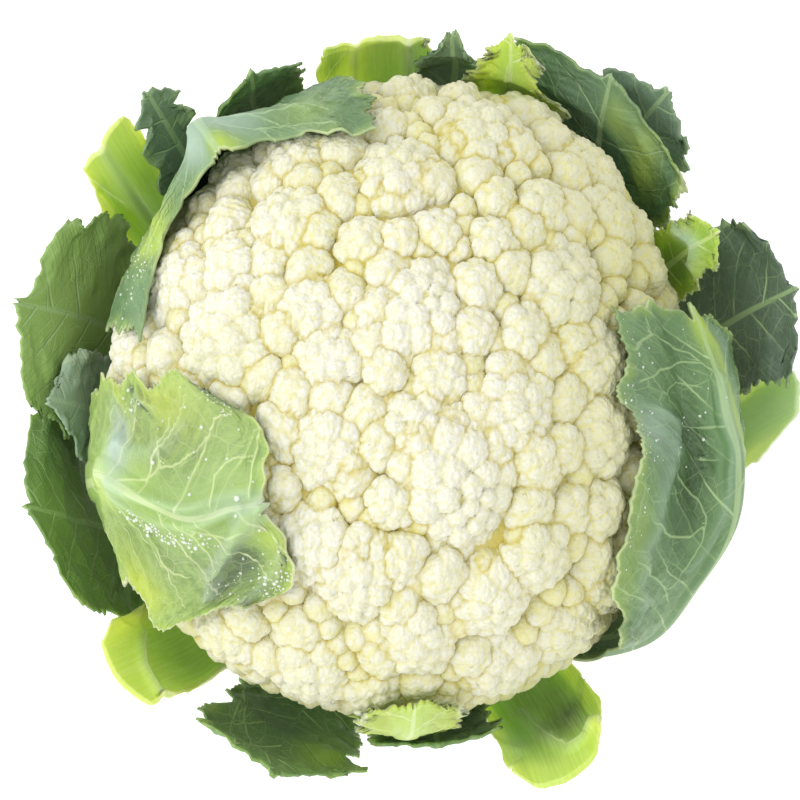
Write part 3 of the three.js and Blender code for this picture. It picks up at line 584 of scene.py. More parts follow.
def rim_loop(n):
    """The vertices round the edge of an n by n grid, in order."""
    k = np.arange(n * n).reshape(n, n)
    return np.concatenate([k[:-1, 0], k[-1, :-1], k[:0:-1, -1], k[0, :0:-1]])


def curd_form():
    """Every floret of the curd as a dictionary: its axis, radius, centre, and its lobes about that
    centre, first about +Z and then turned to the axis."""
    form = []
    for index, (axis, radius, centre) in enumerate(zip(*floret_list())):
        balls, radii = lobe_balls(index, radius)
        turn = turning(axis)
        form.append({"axis": axis, "radius": radius, "centre": centre, "turn": turn, "lobes": balls,
                     "lobe_radii": radii, "placed": balls @ turn + centre})
    return form


def stand_off(points, form, index):
    """How far points on a floret stand off the lobes of the florets round it: the least distance to
    any of their surfaces, and negative inside them."""
    own = form[index]
    reach = 1.4 * own["radius"] + 3
    least = np.full(len(points), 9.0)
    for k, other in enumerate(form):
        away = np.linalg.norm(other["centre"] - own["centre"])
        if k == index or away > reach + 1.5 * other["radius"]:
            continue
        apart = np.linalg.norm(other["placed"] - own["centre"], axis=1) - other["lobe_radii"]
        for centre, radius in zip(other["placed"][apart < reach], other["lobe_radii"][apart < reach]):
            least = np.minimum(least, np.sqrt(((points - centre) ** 2).sum(1)) - radius)
    return least


def floret_surface(index, form, spacing):
    """A floret as a closed cap on a root. A ray from its centre ends on its lobes, or on the buds over
    the lobes, whichever is further. The cap reaches further down on the outermost florets. Returns
    points, faces and the crease masks where the finish paints shade: between florets and deep under
    the skin, between lobes and between buds."""
    own = form[index]
    axis, radius, centre = own["axis"], own["radius"], own["centre"]
    widest = CAP_INNER + (CAP_OUTER - CAP_INNER) * (1 - smooth(0.3, 0.75, axis[2]))
    n = max(12, 2 * int(math.sqrt(2 * math.pi * (1 - math.cos(widest))) * radius / spacing / 2))
    directions = cap_directions(n, widest).reshape(-1, 3).astype(np.float32)
    lobes, lobe_radii = own["lobes"], own["lobe_radii"] - BUD_RISE
    buds, bud_radii = bud_balls(lobes, lobe_radii, index * 7)
    base, fold = reach_of_balls(directions, lobes.astype(np.float32), lobe_radii.astype(np.float32))
    knobs, dimple = reach_of_balls(directions, buds, bud_radii)
    out = np.maximum(np.maximum(base, radius * FLORET_CORE), knobs)
    points = centre + (directions * out[:, None]) @ own["turn"]
    seam = stand_off(points, form, index)
    depth = skin(unit(points)) - np.linalg.norm(points, axis=-1)
    # Masks for painted shade: between florets and deep under the skin, between lobes, between buds.
    crease = np.stack([
        np.maximum(1 - smooth(-0.3, 0.8, seam), 0.7 * smooth(5, 12, depth)),
        1 - smooth(0.05, 0.75, fold),
        1 - smooth(0.03, 0.4, dimple),
    ], -1)
    rim = rim_loop(n)
    fan = np.stack([np.full(len(rim), n * n), np.roll(rim, -1), rim], -1)
    points, crease = np.vstack([points, centre * FLORET_ROOT]), np.vstack([crease, [1, 0, 0]])
    return points, [grid_faces(n, n), fan], crease


# ---- Meshes ----
def make_piece(name, points, faces, material, node, slot, values=None):
    """Makes a mesh of points in mm and of arrays of faces, gives it its attributes and material, and
    lets it ride and replace its node. Its slot is not used."""
    mesh = bpy.data.meshes.new(name)
    mesh.from_pydata(points * MM, [], [corners for block in faces for corners in block.tolist()])
    for key, data in (values or {}).items():
        layer = mesh.attributes.new(key, "FLOAT_VECTOR", "POINT")
        layer.data.foreach_set("vector", np.ascontiguousarray(data, dtype=np.float32).ravel())
    mesh.validate()
    mesh.shade_smooth()
    mesh.materials.append(material)
    piece = bpy.data.objects.new(name, mesh)
    bpy.context.collection.objects.link(piece)
    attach(piece, BODY)
    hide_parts(node)


# ---- Leaves ----
def clear_of_curd(points, gap):
    """Points kept off the curd's skin by the gap at least."""
    arm = points - MIDDLE
    length = np.linalg.norm(arm, axis=-1)
    return MIDDLE + unit(arm) * np.maximum(length, skin(unit(arm)) + gap)[..., None]


def leaf_line(leaf, u):
    """A leaf's rib at places along it."""
    if "net" in leaf:
        return spline(polar(*np.array(leaf["net"], float)[:, 2].T), u)
    r, z, _ = WHORLS[leaf["whorl"]]
    stations = polar(np.array(leaf["az"], float), np.array(leaf.get("r", r), float),
                     np.array(leaf.get("z", z), float))
    return spline(stations, u)


def leaf_surface(leaf, u, side, share, more, wave):
    """The inner surface of a leaf: a point on the rib at u, drawn in by the wave, then turned round the
    head by its distance from the rib, clear of the curd. share is 1 at the rib's edge and 2 at the
    margin, which more moves out. Also returns the distance from the rib and the width of the blade."""
    gap = WHORLS[leaf["whorl"]][2]
    here = leaf_line(leaf, u)
    along = unit(leaf_line(leaf, u + 1e-4) - leaf_line(leaf, u - 1e-4))
    inward = np.array([0, 0, LEAF_FOCUS]) - here
    inward = unit(inward - along * (inward * along).sum(-1, keepdims=True))
    rib_half = spline(leaf.get("rib", RIB_WIDTH), u) / 2
    left, right = leaf["left"], leaf.get("right", leaf["left"])
    width = np.where(side > 0, spline(left, u), spline(right, u))
    width = np.maximum(width, rib_half + 0.8)
    beyond_rib = (width - rib_half + more) * (share - 1)
    distance = np.where(share <= 1, rib_half * share, rib_half + beyond_rib)
    point = here + inward * wave[..., None]
    turn = side * distance / np.hypot(here[..., 0], here[..., 1])
    c, s = np.cos(turn), np.sin(turn)
    x, y, z = np.moveaxis(point, -1, 0)
    point = np.stack([c * x - s * y, s * x + c * y, z], -1)
    return clear_of_curd(point, gap * smooth(0.25, 0.5, u) + 0.4 * wave), distance, width


def net_surface(leaf, u, side, share, more, wave):
    """The same for a folded leaf: Catmull-Rom lines along the columns of its net, and one through those
    across the leaf."""
    line = np.stack([spline(polar(*np.array(leaf["net"], float)[:, j].T), u) for j in range(5)])
    left = side[..., None] > 0
    rib, middle, margin = line[2], np.where(left, line[3], line[1]), np.where(left, line[4], line[0])
    width = np.linalg.norm(middle - rib, axis=-1) + np.linalg.norm(margin - middle, axis=-1)
    rib_half = np.minimum(spline(leaf.get("rib", RIB_WIDTH), u) / 2, 0.7 * width)
    distance = np.where(share <= 1, rib_half * share, rib_half + (width - rib_half) * (share - 1))
    across = 2 + 2 * side * np.clip(distance / width, 0, 1)
    k = np.minimum(across.astype(int), 3)
    t = (across - k)[..., None]
    padded = carried_on(line)
    point = between(*(np.take_along_axis(padded, (k + n)[None, ..., None], 0)[0] for n in range(4)), t)
    point = point + unit(margin - middle) * (more * np.clip(share - 1, 0, 1))[..., None]
    out = unit(np.cross(line[3] - line[1], np.gradient(line[2], axis=0)))
    point = point - out * wave[..., None]
    gap = WHORLS[leaf["whorl"]][2]
    return clear_of_curd(point, gap * smooth(0.15, 0.3, u)), distance, width


def off_path(path, arc, x, y):
    """The distance of points from a path of (u, mm) corners, negative on the right of it."""
    path = np.array(path, float)
    corners = np.stack([arc(path[:, 0]), path[:, 1]], -1)
    off = np.full(x.shape, 99.0)
    for (x0, y0), (x1, y1) in zip(corners[:-1], corners[1:]):
        run = max((x1 - x0) ** 2 + (y1 - y0) ** 2, 1e-9)
        t = np.clip(((x - x0) * (x1 - x0) + (y - y0) * (y1 - y0)) / run, 0, 1)
        apart = np.hypot(x - x0 - t * (x1 - x0), y - y0 - t * (y1 - y0))
        side = (x1 - x0) * (y - y0) - (y1 - y0) * (x - x0)
        off = np.where(apart < np.abs(off), np.copysign(apart, side), off)
    return off


def leaf_grid(leaf, number):
    """The inner surface of a leaf as a grid of points, with what is known at each: place along the rib,
    in u and in mm, signed distance from it, distance to the margin, side and share."""
    detail = leaf.get("detail", 1.0)
    rows, cols = int(BLADE_ROWS * detail), int(BLADE_COLS * detail)
    t = np.linspace(0, 1, rows) ** 0.62
    half = np.concatenate([np.linspace(0, 1, RIB_COLS)[:-1], np.linspace(1, 2, cols)])
    share = np.abs(np.concatenate([-half[:0:-1], half]))
    side = np.concatenate([-np.ones(len(half) - 1), np.ones(len(half))])
    t, share = np.meshgrid(t, share, indexing="ij")
    side = np.broadcast_to(side, t.shape)
    seed = 40.0 + number
    square = leaf.get("round") == [0, 0]
    ragged, toothed = leaf.get("ragged", 1.0), leaf.get("teeth", 1.0)
    round_off = np.where(side > 0, *leaf.get("round", [0.07, 0.07])) * (share / 2) ** 2
    tip = smooth(0.88, 1, t)
    s = t * BLADE_LENGTH
    lobing = 2.2 * ripple(s, 30 * side, seed, 26) + 1.1 * ripple(s, 30 * side, seed + 1, 9)
    teeth = (0.5 + 0.5 * np.sin(s * TOOTH_TURN + 2 * ripple(s, side, seed + 2, 12))) ** 2
    more = (ragged * lobing + 1.1 * toothed * teeth) * smooth(0.3, 0.6, t)
    d = share * side * TIP_WIDTH / 4
    end = ragged * (0.014 * ripple(d, 0 * s, seed + 3, 18) + 0.007 * ripple(d, 0 * s, seed + 4, 5))
    end = end + 0.006 * toothed * (0.5 + 0.5 * np.sin(d * TOOTH_TURN)) ** 2
    u = t * (1 - round_off) - tip * (0.02 * ragged - end)
    wave = 1.5 * leaf.get("waved", 1.0) * ripple(s, 20 * side, seed + 5, 30) + leaf.get("cup", 0.0)
    wave = wave * smooth(0.3, 0.75, t) * (share / 2) ** 2
    surface = net_surface if "net" in leaf else leaf_surface
    inner, distance, width = surface(leaf, u, side, share, more, wave)
    steps = np.linspace(0, 1, ARC_STEPS)
    line = leaf_line(leaf, steps)
    run = np.concatenate([[0], np.cumsum(np.linalg.norm(np.diff(line, axis=0), axis=1))])

    def arc(places):
        return np.interp(places, steps, run)

    beyond = width - distance + more * (1 - np.clip(share - 1, 0, 1))
    edge = np.minimum(np.maximum(beyond, 0), (1 - t) * run[-1] + (0 if square else 1))
    return inner, {"t": t, "u": u, "arc": arc, "x": arc(u), "y": distance * side, "edge": edge,
                   "side": side, "share": share}


def leaf_sheet(leaf, number):
    """A blade as a closed sheet. The inner face is the leaf's surface, puckered between side veins that
    leave the rib aslant, with its own ridges and main veins. The outer face lies one thickness out,
    with the rib and the veins raised. Returns points, faces, and the values that the finish reads."""
    inner, at = leaf_grid(leaf, number)
    t, u, x, y, share, side = (at[key] for key in ("t", "u", "x", "y", "share", "side"))
    distance, seed = y * side, 47.0 + number
    slant = x - 0.75 * distance - 0.006 * distance**2
    phase = slant / VEIN_PITCH + 0.5 * (side > 0) + 0.12 * ripple(x, y, seed, 40)
    off_vein = np.abs(phase - np.floor(phase) - 0.5) * 2  # 1 on a vein, 0 midway between two
    vein = smooth(0.72, 1, off_vein) * smooth(1, 1.25, share) * (1 - smooth(1.7, 2, share))
    pucker = (1 - off_vein) * smooth(1.05, 1.5, share) * smooth(0.2, 0.5, u)
    flat = 1 - leaf.get("stalk", 0.0)
    phase = phase * flat + 0.5 * (1 - flat)
    shown = 1 if "net" in leaf else -1  # a folded leaf shows its outer face, the others their inner one
    line = np.full(u.shape, 99.0)
    for path in leaf.get("mains", []):
        off = off_path(path, at["arc"], x, y)
        line = np.where(np.abs(off) < np.abs(line), off, line)
    main = np.exp(-((line / 0.7) ** 2))
    fold = np.zeros_like(u)
    for height, reach, path in leaf.get("ridges", []):
        fold = fold + height * np.exp(-((off_path(path, at["arc"], x, y) / reach) ** 2))
    # Brightness, then wax. The brightness, from tone and kind-0 spots, is painted light and shade, in
    # places the leaf's own green.
    tint = np.zeros((2,) + u.shape) + np.array(leaf.get("tone", (0, 0)))[:, None, None]
    for kind, amount, place, off, along, across in leaf.get("spots", []):
        away = ((x - at["arc"](place)) / along) ** 2 + ((y - off) / across) ** 2
        tint[kind] += amount * np.exp(-away)
    out = unit(np.cross(np.gradient(inner, axis=1), np.gradient(inner, axis=0)))
    depth = spline(RIB_DEPTH, t)
    crest = np.where(share < 1, 0.45 + 0.55 * np.sqrt(np.clip(1 - share**2, 0, 1)),
                     0.45 * (1 - smooth(1, 1.45, share)))
    crinkle = 0.35 * ripple(x, y, seed + 7, 7) + 0.18 * ripple(x, y, seed + 8, 3)
    crinkle = crinkle * smooth(1, 1.3, share) * smooth(0.2, 0.5, u)
    relief = shown * fold - flat * (0.5 * pucker + crinkle)
    raised = flat * 0.3 * vein + min(shown, 0) * 0.4 * main + 0.25 * (share < 1) * (1 - share) * flat
    inner_face = inner + out * (relief + raised)[..., None]
    thick = BLADE_THICK + (depth - BLADE_THICK) * crest + flat * 0.35 * vein
    thick = thick + max(shown, 0) * 0.4 * main
    outer_face = inner + out * (relief + thick)[..., None]
    rows, cols = t.shape
    points = np.concatenate([inner_face.reshape(-1, 3), outer_face.reshape(-1, 3)]) * OVAL
    inner_quads = grid_faces(rows, cols)
    outer_quads = grid_faces(rows, cols, rows * cols)[:, ::-1]
    k = np.arange(rows * cols).reshape(rows, cols)
    loop = np.concatenate([k[0, :-1], k[:-1, -1], k[-1, :0:-1], k[:0:-1, 0]])
    nxt = np.roll(loop, -1)
    wall = np.stack([loop, nxt, nxt + rows * cols, loop + rows * cols], -1)
    faces = np.concatenate([inner_quads, outer_quads, wall])
    shown_share = np.maximum(share, leaf.get("bare", 0))
    nought = np.zeros_like(u)
    tint[1] += 0.17 * np.clip(fold, 0, 2)  # painted highlight on a ridge's crest, in the wax colour
    values = {"blade": (phase, shown_share, at["edge"]), "place": (x, nought, y),
              "tint": (tint[0], tint[1], np.clip(line, -9, 9)),
              "near": (np.exp(-((line / 1.6) ** 2)), nought, nought)}
    values = {key: np.tile(np.stack(value, -1).reshape(-1, 3), (2, 1)) for key, value in values.items()}
    values["place"][rows * cols:, 1] = 1  # on the outer face
    face = (outer_face if shown > 0 else inner_face) * OVAL
    normal = unit(np.cross(np.gradient(face, axis=1), np.gradient(face, axis=0))) * shown
    return points, [faces], values, drops_on(face, normal, at, leaf.get("drops", []), seed)


def drops_on(face, normal, at, clusters, seed):
    """Water drops as one mesh: balls flattened to two thirds and half sunk in the face. Those of a
    cluster (count, u, off, along, across, radius) are scattered about its place, nearest the grid's
    own points, and left out beyond the margin."""
    down, turn = np.meshgrid(np.radians(DROP_RINGS), np.radians(np.arange(0, 360, 45)), indexing="ij")
    ball, ball_faces = closed_form([0, 0, 1], on_sphere(down, turn), [0, 0, -1])
    points, faces = [], []
    for number, (count, u, off, along, across, radius) in enumerate(clusters):
        n = seed * 31 + number * 211 + np.arange(count) * 5
        reach, angle = np.sqrt(-np.log(0.02 + 0.98 * noise(n))), 2 * np.pi * noise(n + 1)
        x, y = at["arc"](u) + along * reach * np.cos(angle), off + across * reach * np.sin(angle)
        for i in range(count):
            away = np.hypot(at["x"] - x[i], at["y"] - y[i])
            j = np.unravel_index(np.argmin(away), away.shape)
            if away[j] < 1.5 and at["edge"][j] > 1.2:
                stretch = np.array([1, 1, 0.68]) * radius * (0.5 + 0.9 * noise(n[i] + 2) ** 2)
                faces += [block + len(points) * len(ball) for block in ball_faces]
                points.append(ball * stretch @ turning(normal[j]) + face[j])
    return points, faces


# ---- Materials ----
class Nodes:
    """Short calls for a node tree: add a node, link it, and set its unlinked sockets."""

    def __init__(self, tree):
        self.tree = tree

    def feed(self, node, inputs):
        for key, value in inputs.items():
            socket = node.inputs[key]
            if isinstance(value, bpy.types.NodeSocket):
                self.tree.links.new(value, socket)
            else:
                socket.default_value = value
        return node

    def add(self, kind, inputs, **settings):
        node = self.tree.nodes.new(kind)
        for key, value in settings.items():
            setattr(node, key, value)
        return self.feed(node, inputs)

    def maths(self, operation, a, b=0.0, clamp=False):
        return self.add("ShaderNodeMath", {0: a, 1: b}, operation=operation, use_clamp=clamp).outputs[0]

    def times(self, a, b, clamp=False):
        return self.maths("MULTIPLY", a, b, clamp)

    def plus(self, a, b):
        return self.maths("ADD", a, b)

    def most(self, a, b, clamp=False):
        return self.maths("MAXIMUM", a, b, clamp)

    def ramp(self, value, low, high, start=0.0, end=1.0):
        return self.add("ShaderNodeMapRange", {"Value": value, "From Min": low, "From Max": high,
                        "To Min": start, "To Max": end}, interpolation_type="SMOOTHSTEP").outputs[0]

    def mix(self, factor, a, b, blend="MIX"):
        node = self.add("ShaderNodeMix", {0: factor, 6: a, 7: b}, data_type="RGBA", blend_type=blend)
        return node.outputs[2]

    def coords(self):
        return self.add("ShaderNodeTexCoord", {}).outputs["Object"]

    def attribute(self, name):
        node = self.add("ShaderNodeAttribute", {}, attribute_name=name)
        return self.add("ShaderNodeSeparateXYZ", {0: node.outputs["Vector"]}).outputs

    def noise(self, vector, scale, detail, **settings):
        inputs = {"Vector": vector, "Scale": scale, "Detail": detail}
        return self.add("ShaderNodeTexNoise", inputs, **settings).outputs

    def cells(self, vector, scale, more=(), **settings):
        inputs = {"Vector": vector, "Scale": scale, **dict(more)}
        return self.add("ShaderNodeTexVoronoi", inputs, **settings).outputs["Distance"]

    def stretched(self, vector, scale):
        return self.add("ShaderNodeMapping", {"Vector": vector, "Scale": scale}).outputs[0]

    def bump(self, height, strength, distance):
        inputs = {"Height": height, "Strength": strength, "Distance": distance}
        return self.add("ShaderNodeBump", inputs).outputs[0]


def rgb(hex_colour):
    """A colour written as sRGB hex, made linear."""
    c = np.array([int(hex_colour[i:i + 2], 16) for i in (1, 3, 5)]) / 255
    linear = np.where(c <= 0.04045, c / 12.92, ((c + 0.055) / 1.055) ** 2.4)
    return (*map(float, linear), 1.0)


BUMP = 0.0006  # height in metres that a pattern of 1 stands for
# The first is for mottled places and the grooves of pleats, the second for darker places: painted
# shade, and the leaf's own darker patches.
LEAF_DULL, LEAF_DARK_AND_SHADE = (0.02, 0.05, 0.02, 1.0), (0.03, 0.065, 0.02, 1.0)  # mottled and darker places
LEAF_WAX = (0.42, 0.55, 0.46, 1.0)


def new_material(name):
    """An empty material with its Principled shader, and short calls for its tree."""
    material = bpy.data.materials.new(name)
    material.use_nodes = True
    tree = Nodes(material.node_tree)
    return material, tree, material.node_tree.nodes["Principled BSDF"]


def curd_material(settings):
    """Ivory, with painted shade in the creases: darker and yellower for shade and warm bounced light,
    most between florets and deep under the skin, less between lobes and buds and in the pits of a
    fine grain of tiny knobs all over. Painted shade with a greener tint darkens the head's right
    side, back and front."""
    material, t, shader = new_material("curd")
    crease = t.attribute("crease")
    coords = t.coords()
    cloud = t.noise(coords, 30.0, 3.0)[0]
    grain = t.cells(coords, 620.0, {"Randomness": 0.85})
    fine = t.cells(coords, 1250.0)
    x, y, _ = t.add("ShaderNodeSeparateXYZ", {0: coords}).outputs
    # Painted shade with a greener tint: darker olive towards the head's right side, back and front,
    # where the light from the left falls off.
    side_shade_and_tint = t.most(t.ramp(x, 0.01, 0.08, 0.0, 0.85), t.ramp(y, 0.04, 0.09, 0.0, 0.5))
    side_shade_and_tint = t.most(side_shade_and_tint, t.ramp(y, -0.09, -0.03, 0.35, 0.0))
    even = t.mix(t.ramp(cloud, 0.4, 0.7, 0.0, 0.6), settings.crest[:], settings.warm[:])
    base = t.mix(side_shade_and_tint, even, settings.side_shade_and_tint[:])
    # Painted shade, darker and yellower: in the grain's pits, between buds, between lobes, and most
    # between florets and deep down.
    pits = t.mix(t.ramp(grain, 0.35, 0.75, 0.0, 0.25), base, settings.fold[:])
    bud = t.mix(t.times(crease[2], 0.25), pits, settings.fold[:])
    lobe = t.mix(t.times(crease[1], 0.5), bud, settings.fold[:])
    deep = t.times(crease[0], t.ramp(cloud, 0.3, 0.65, 0.45, 0.95))
    height = t.plus(t.times(grain, -1.0), t.times(fine, -0.35))
    t.feed(shader, {"Base Color": t.mix(deep, lobe, settings.seam[:]), "Roughness": 0.6,
                    "Normal": t.bump(height, 0.65, BUMP)})
    return material


def leaf_group():
    """The pattern of a leaf, from the values of its blade: side and main veins and a thin line along
    the rib, a faint net between them, lengthwise fibres, a painted lit band along the margin with
    pale teeth, painted shade in the grooves of pleats, brighter and darker places that are painted
    light and shade and in places the leaf's own tone, waxier places, and the height of all of it."""
    group = bpy.data.node_groups.new("leaf_pattern", "ShaderNodeTree")
    for way, kind, names in (("INPUT", "Color", ("Inner", "Outer", "Bright", "Vein", "Margin")),
                             ("INPUT", "Float", ("Net", "Bloom", "Rib", "Fibre")),
                             ("OUTPUT", "Color", ("Color",)),
                             ("OUTPUT", "Float", ("Roughness", "Height"))):
        for name in names:
            group.interface.new_socket(name, in_out=way, socket_type=f"NodeSocket{kind}")
    t = Nodes(group)
    given = t.add("NodeGroupInput", {}).outputs
    phase, share, edge = t.attribute("blade")
    along, face, aside = t.attribute("place")
    bright, wax, line = t.attribute("tint")
    near = t.attribute("near")[0]
    coords = t.coords()
    flat = t.add("ShaderNodeCombineXYZ", {0: along, 1: aside}).outputs[0]
    patchy = t.noise(coords, 60.0, 3.0)
    bent = t.add("ShaderNodeVectorMath", {0: flat, 1: patchy["Color"]}, operation="ADD").outputs[0]
    nets = []
    for scale, width, strength in ((0.15, 0.05, 0.75), (0.4, 0.075, 0.45)):
        cells = t.cells(bent, scale, voronoi_dimensions="2D", feature="DISTANCE_TO_EDGE")
        nets.append(t.ramp(cells, 0.0, width, strength, 0.0))
    patch = t.ramp(patchy["Fac"], 0.38, 0.6, 0.25, 1.0)
    net = t.times(t.times(t.most(*nets), patch), given["Net"])
    centred = t.maths("ABSOLUTE", t.maths("SUBTRACT", t.maths("FRACT", phase), 0.5))
    vein = t.times(t.ramp(centred, t.ramp(share, 1.0, 2.0, 0.44, 0.48), 0.5), patch)
    vein = t.times(vein, t.ramp(share, 1.7, 1.95, 1.0, 0.0))
    rib = t.ramp(share, t.times(given["Rib"], 0.5), given["Rib"], 0.7, 0.0)
    main = t.times(t.ramp(t.maths("ABSOLUTE", line), 0.08, 0.42, 0.62, 0.0),
                   t.ramp(near, 0.3, 0.8))
    lines = t.most(t.most(rib, vein), t.most(main, net))
    mottle = t.noise(coords, 45.0, 5.0)[0]
    lengthwise = t.stretched(flat, (0.05, 1.3, 1.0))
    fibre = t.noise(lengthwise, 1.0, 3.0, noise_dimensions="2D")[0]
    fibre = t.times(t.ramp(fibre, 0.35, 0.7), given["Fibre"])
    slanted = t.add("ShaderNodeCombineXYZ", {0: t.times(phase, 7.0),
                    1: t.times(aside, 0.05)}).outputs[0]
    pleat = t.noise(slanted, 1.0, 2.0, noise_dimensions="2D")[0]
    pleat = t.times(t.ramp(pleat, 0.35, 0.65), t.ramp(share, 1.0, 1.3))
    blade = t.mix(face, given["Inner"], given["Outer"])
    # Mottle, and painted shade darkening the grooves of the pleats.
    dull = t.plus(t.ramp(mottle, 0.3, 0.7, 0.0, 0.25), t.times(pleat, 0.2))
    shade = t.mix(dull, blade, LEAF_DULL)
    # Painted light: a brighter band along the margin.
    band = t.times(t.ramp(edge, 0.5, 4.0, 0.45, 0.0), patch)
    # Painted light above 0 and painted shade below it, from tone and spots, in places the leaf's own
    # paler and darker patches.
    lit = t.mix(t.most(bright, band, True), shade, given["Bright"])
    dim = t.mix(t.times(bright, -1.0, True), lit, LEAF_DARK_AND_SHADE)
    lined = t.mix(t.most(lines, fibre, True), dim, given["Vein"])
    rim = t.times(t.ramp(edge, 0.15, 0.8, 0.65, 0.0), patch)
    edged = t.mix(rim, lined, given["Margin"])
    dust = t.noise(coords, 14.0, 4.0)[0]
    dusted = t.times(t.ramp(dust, 0.35, 0.75), given["Bloom"])
    waxed = t.mix(t.most(dusted, wax, True), edged, LEAF_WAX)
    grain = t.noise(coords, 700.0, 2.0)[0]
    raised = t.times(t.most(vein, net), t.maths("SUBTRACT", face, 0.6))
    fine = t.plus(t.times(pleat, -1.6), t.plus(grain, fibre))
    height = t.plus(raised, t.times(fine, 0.16))
    rough = t.ramp(mottle, 0.3, 0.7, 0.4, 0.56)
    t.add("NodeGroupOutput", {"Color": waxed, "Roughness": rough, "Height": height})
    return group


# Inner face, outer face, bright places of painted light and of the leaf's own paler tone, veins,
# margin; then net, bloom, width of the line on the rib over the rib's own, and fibre.
LEAF_COLOURS = {
    "dark": ("#567b41", "#648c54", "#9cc046", "#9fbd78", "#9fba6c", 0.5, 0.15, 0.35, 0.0),
    "grey": ("#557c4f", "#6c8f5c", "#aac44c", "#a9c48a", "#d6e2ae", 0.55, 0.2, 0.35, 0.0),
    "light": ("#b4cf60", "#b7d268", "#bed264", "#dbe7b4", "#cfdc88", 0.1, 0.06, 0.001, 0.2),
    "bright": ("#8db04c", "#98b956", "#b0ca42", "#d2e0a2", "#e4edc0", 0.5, 0.15, 0.3, 0.1),
}
GLOW = {"light": 0.65, "bright": 0.6}  # how much light goes through the paler leaves


def leaf_material(colour, group):
    """A leaf's finish: its pattern's colour, roughness and height on a waxy skin."""
    material, t, shader = new_material(f"leaf_{colour}")
    values = [rgb(value) if isinstance(value, str) else value for value in LEAF_COLOURS[colour]]
    pattern = t.add("ShaderNodeGroup", {}, node_tree=group)
    t.feed(pattern, dict(enumerate(values)))
    glow = GLOW.get(colour, 0.0)
    t.feed(shader, {"Base Color": pattern.outputs["Color"], "Roughness": pattern.outputs["Roughness"],
                    "Normal": t.bump(pattern.outputs["Height"], 0.8, BUMP), "Specular IOR Level": 0.45,
                    "Subsurface Weight": glow, "Subsurface Radius": (0.8, 1.0, 0.3),
                    "Subsurface Scale": glow * 0.01})
    return material


def stem_material():
    """Pale green skin with fine lengthwise fibres, and a paler, moist cut face."""
    material, t, shader = new_material("stem")
    coords = t.coords()
    parts = t.add("ShaderNodeSeparateXYZ", {0: coords}).outputs
    fibre = t.noise(t.stretched(coords, (420.0, 420.0, 40.0)), 1.0, 3.0)[0]
    skin_colour = t.mix(t.ramp(fibre, 0.3, 0.7), rgb("#b9c987"), rgb("#d7dfae"))
    low = t.ramp(parts[2], 0.0002, 0.0012, 1.0, 0.0)
    t.feed(shader, {"Base Color": t.mix(low, skin_colour, rgb("#e9e8c4")), "Roughness": 0.5,
                    "Normal": t.bump(fibre, 0.4, 0.0004)})
    return material


def water_material():
    """Water drops with a near-white diffuse colour under a little transmission: painted highlight and
    reflection in place of clear water's glints.
    """
    material, t, shader = new_material("water")
    t.feed(shader, {"Base Color": (0.95, 1.0, 0.9, 1), "Roughness": 0.06, "IOR": 1.33,
                    "Transmission Weight": 0.3})
    return material


# ---- The add-on ----
def colour_property(name, description, value):
    """A colour that a user may change."""
    return bpy.props.FloatVectorProperty(name=name, description=description, size=4, subtype="COLOR",
                                         default=rgb(value))


class CurdSettings(bpy.types.PropertyGroup):
    """Sizes and colours of the curd."""

    spacing: bpy.props.FloatProperty(
        name="Mesh spacing", description="Distance between the points of a floret",
        default=0.53 * MM, min=0.0003, unit="LENGTH")
    crest: colour_property("Crest colour", "Colour of the buds", "#e9e8dd")
    warm: colour_property("Warm colour", "Colour of the buds where the head is creamier", "#dfdfc1")
    # Painted shade with a greener tint, for the head's right side, back and front.
    side_shade_and_tint: colour_property("Shaded colour", "Colour of the buds towards the head's sides", "#c4c596")
    # Painted shade in the creases: darker and yellower between lobes and buds, and most between
    # florets.
    fold: colour_property("Fold colour", "Colour between lobes and buds", "#dbd57c")
    seam: colour_property("Seam colour", "Colour between florets", "#c4b440")


AIM = Vector((0, 0, 0.095))  # the middle of the head, for the camera and the lights
FLOOR_HALF = 3.0
# name, place, size in metres, watts
LIGHTS = [("key", (-0.95, 0.0, 1.1), 1.2, 9.0), ("fill", (0.1, -1.2, 1.0), 1.2, 2.5)]
WORLD_LIGHT = 0.96


class StageSettings(bpy.types.PropertyGroup):
    """Camera, lights and floor."""

    elevation: bpy.props.FloatProperty(
        name="Elevation", description="Angle of the camera above the horizon",
        default=math.radians(80), subtype="ANGLE")
    distance: bpy.props.FloatProperty(
        name="Distance", description="From the camera to the middle of the head", default=0.9,
        unit="LENGTH")
    frame_width: bpy.props.FloatProperty(
        name="Frame width", description="Width seen at the middle of the head", default=0.218,
        unit="LENGTH")


def core_surface():
    """The curd's core and stalks under the florets: the skin drawn in, with a ripple for each stalk on
    its underside, flattened over the stem."""
    down, turn = np.meshgrid(np.radians(np.linspace(0, 180, 90)), np.radians(np.arange(0, 360, 2.0)),
                             indexing="ij")
    d = on_sphere(down, turn)
    under = smooth(BRANCH_FROM - 8, BRANCH_FROM + 8, np.degrees(down))
    stalks = 1 - BRANCH_DEPTH * (1 - np.cos(BRANCHES * turn)) * under
    above = 1 - CORE_UNDER / skin(d)
    out = skin(d) * (above + (CORE_DRAWN_IN - above) * under) * stalks
    points = d * out[..., None] + MIDDLE
    points[..., 2] = np.maximum(points[..., 2], STEM_HEIGHT + 0.4)
    return closed_form(points[0, 0], points[1:-1], points[-1, 0])


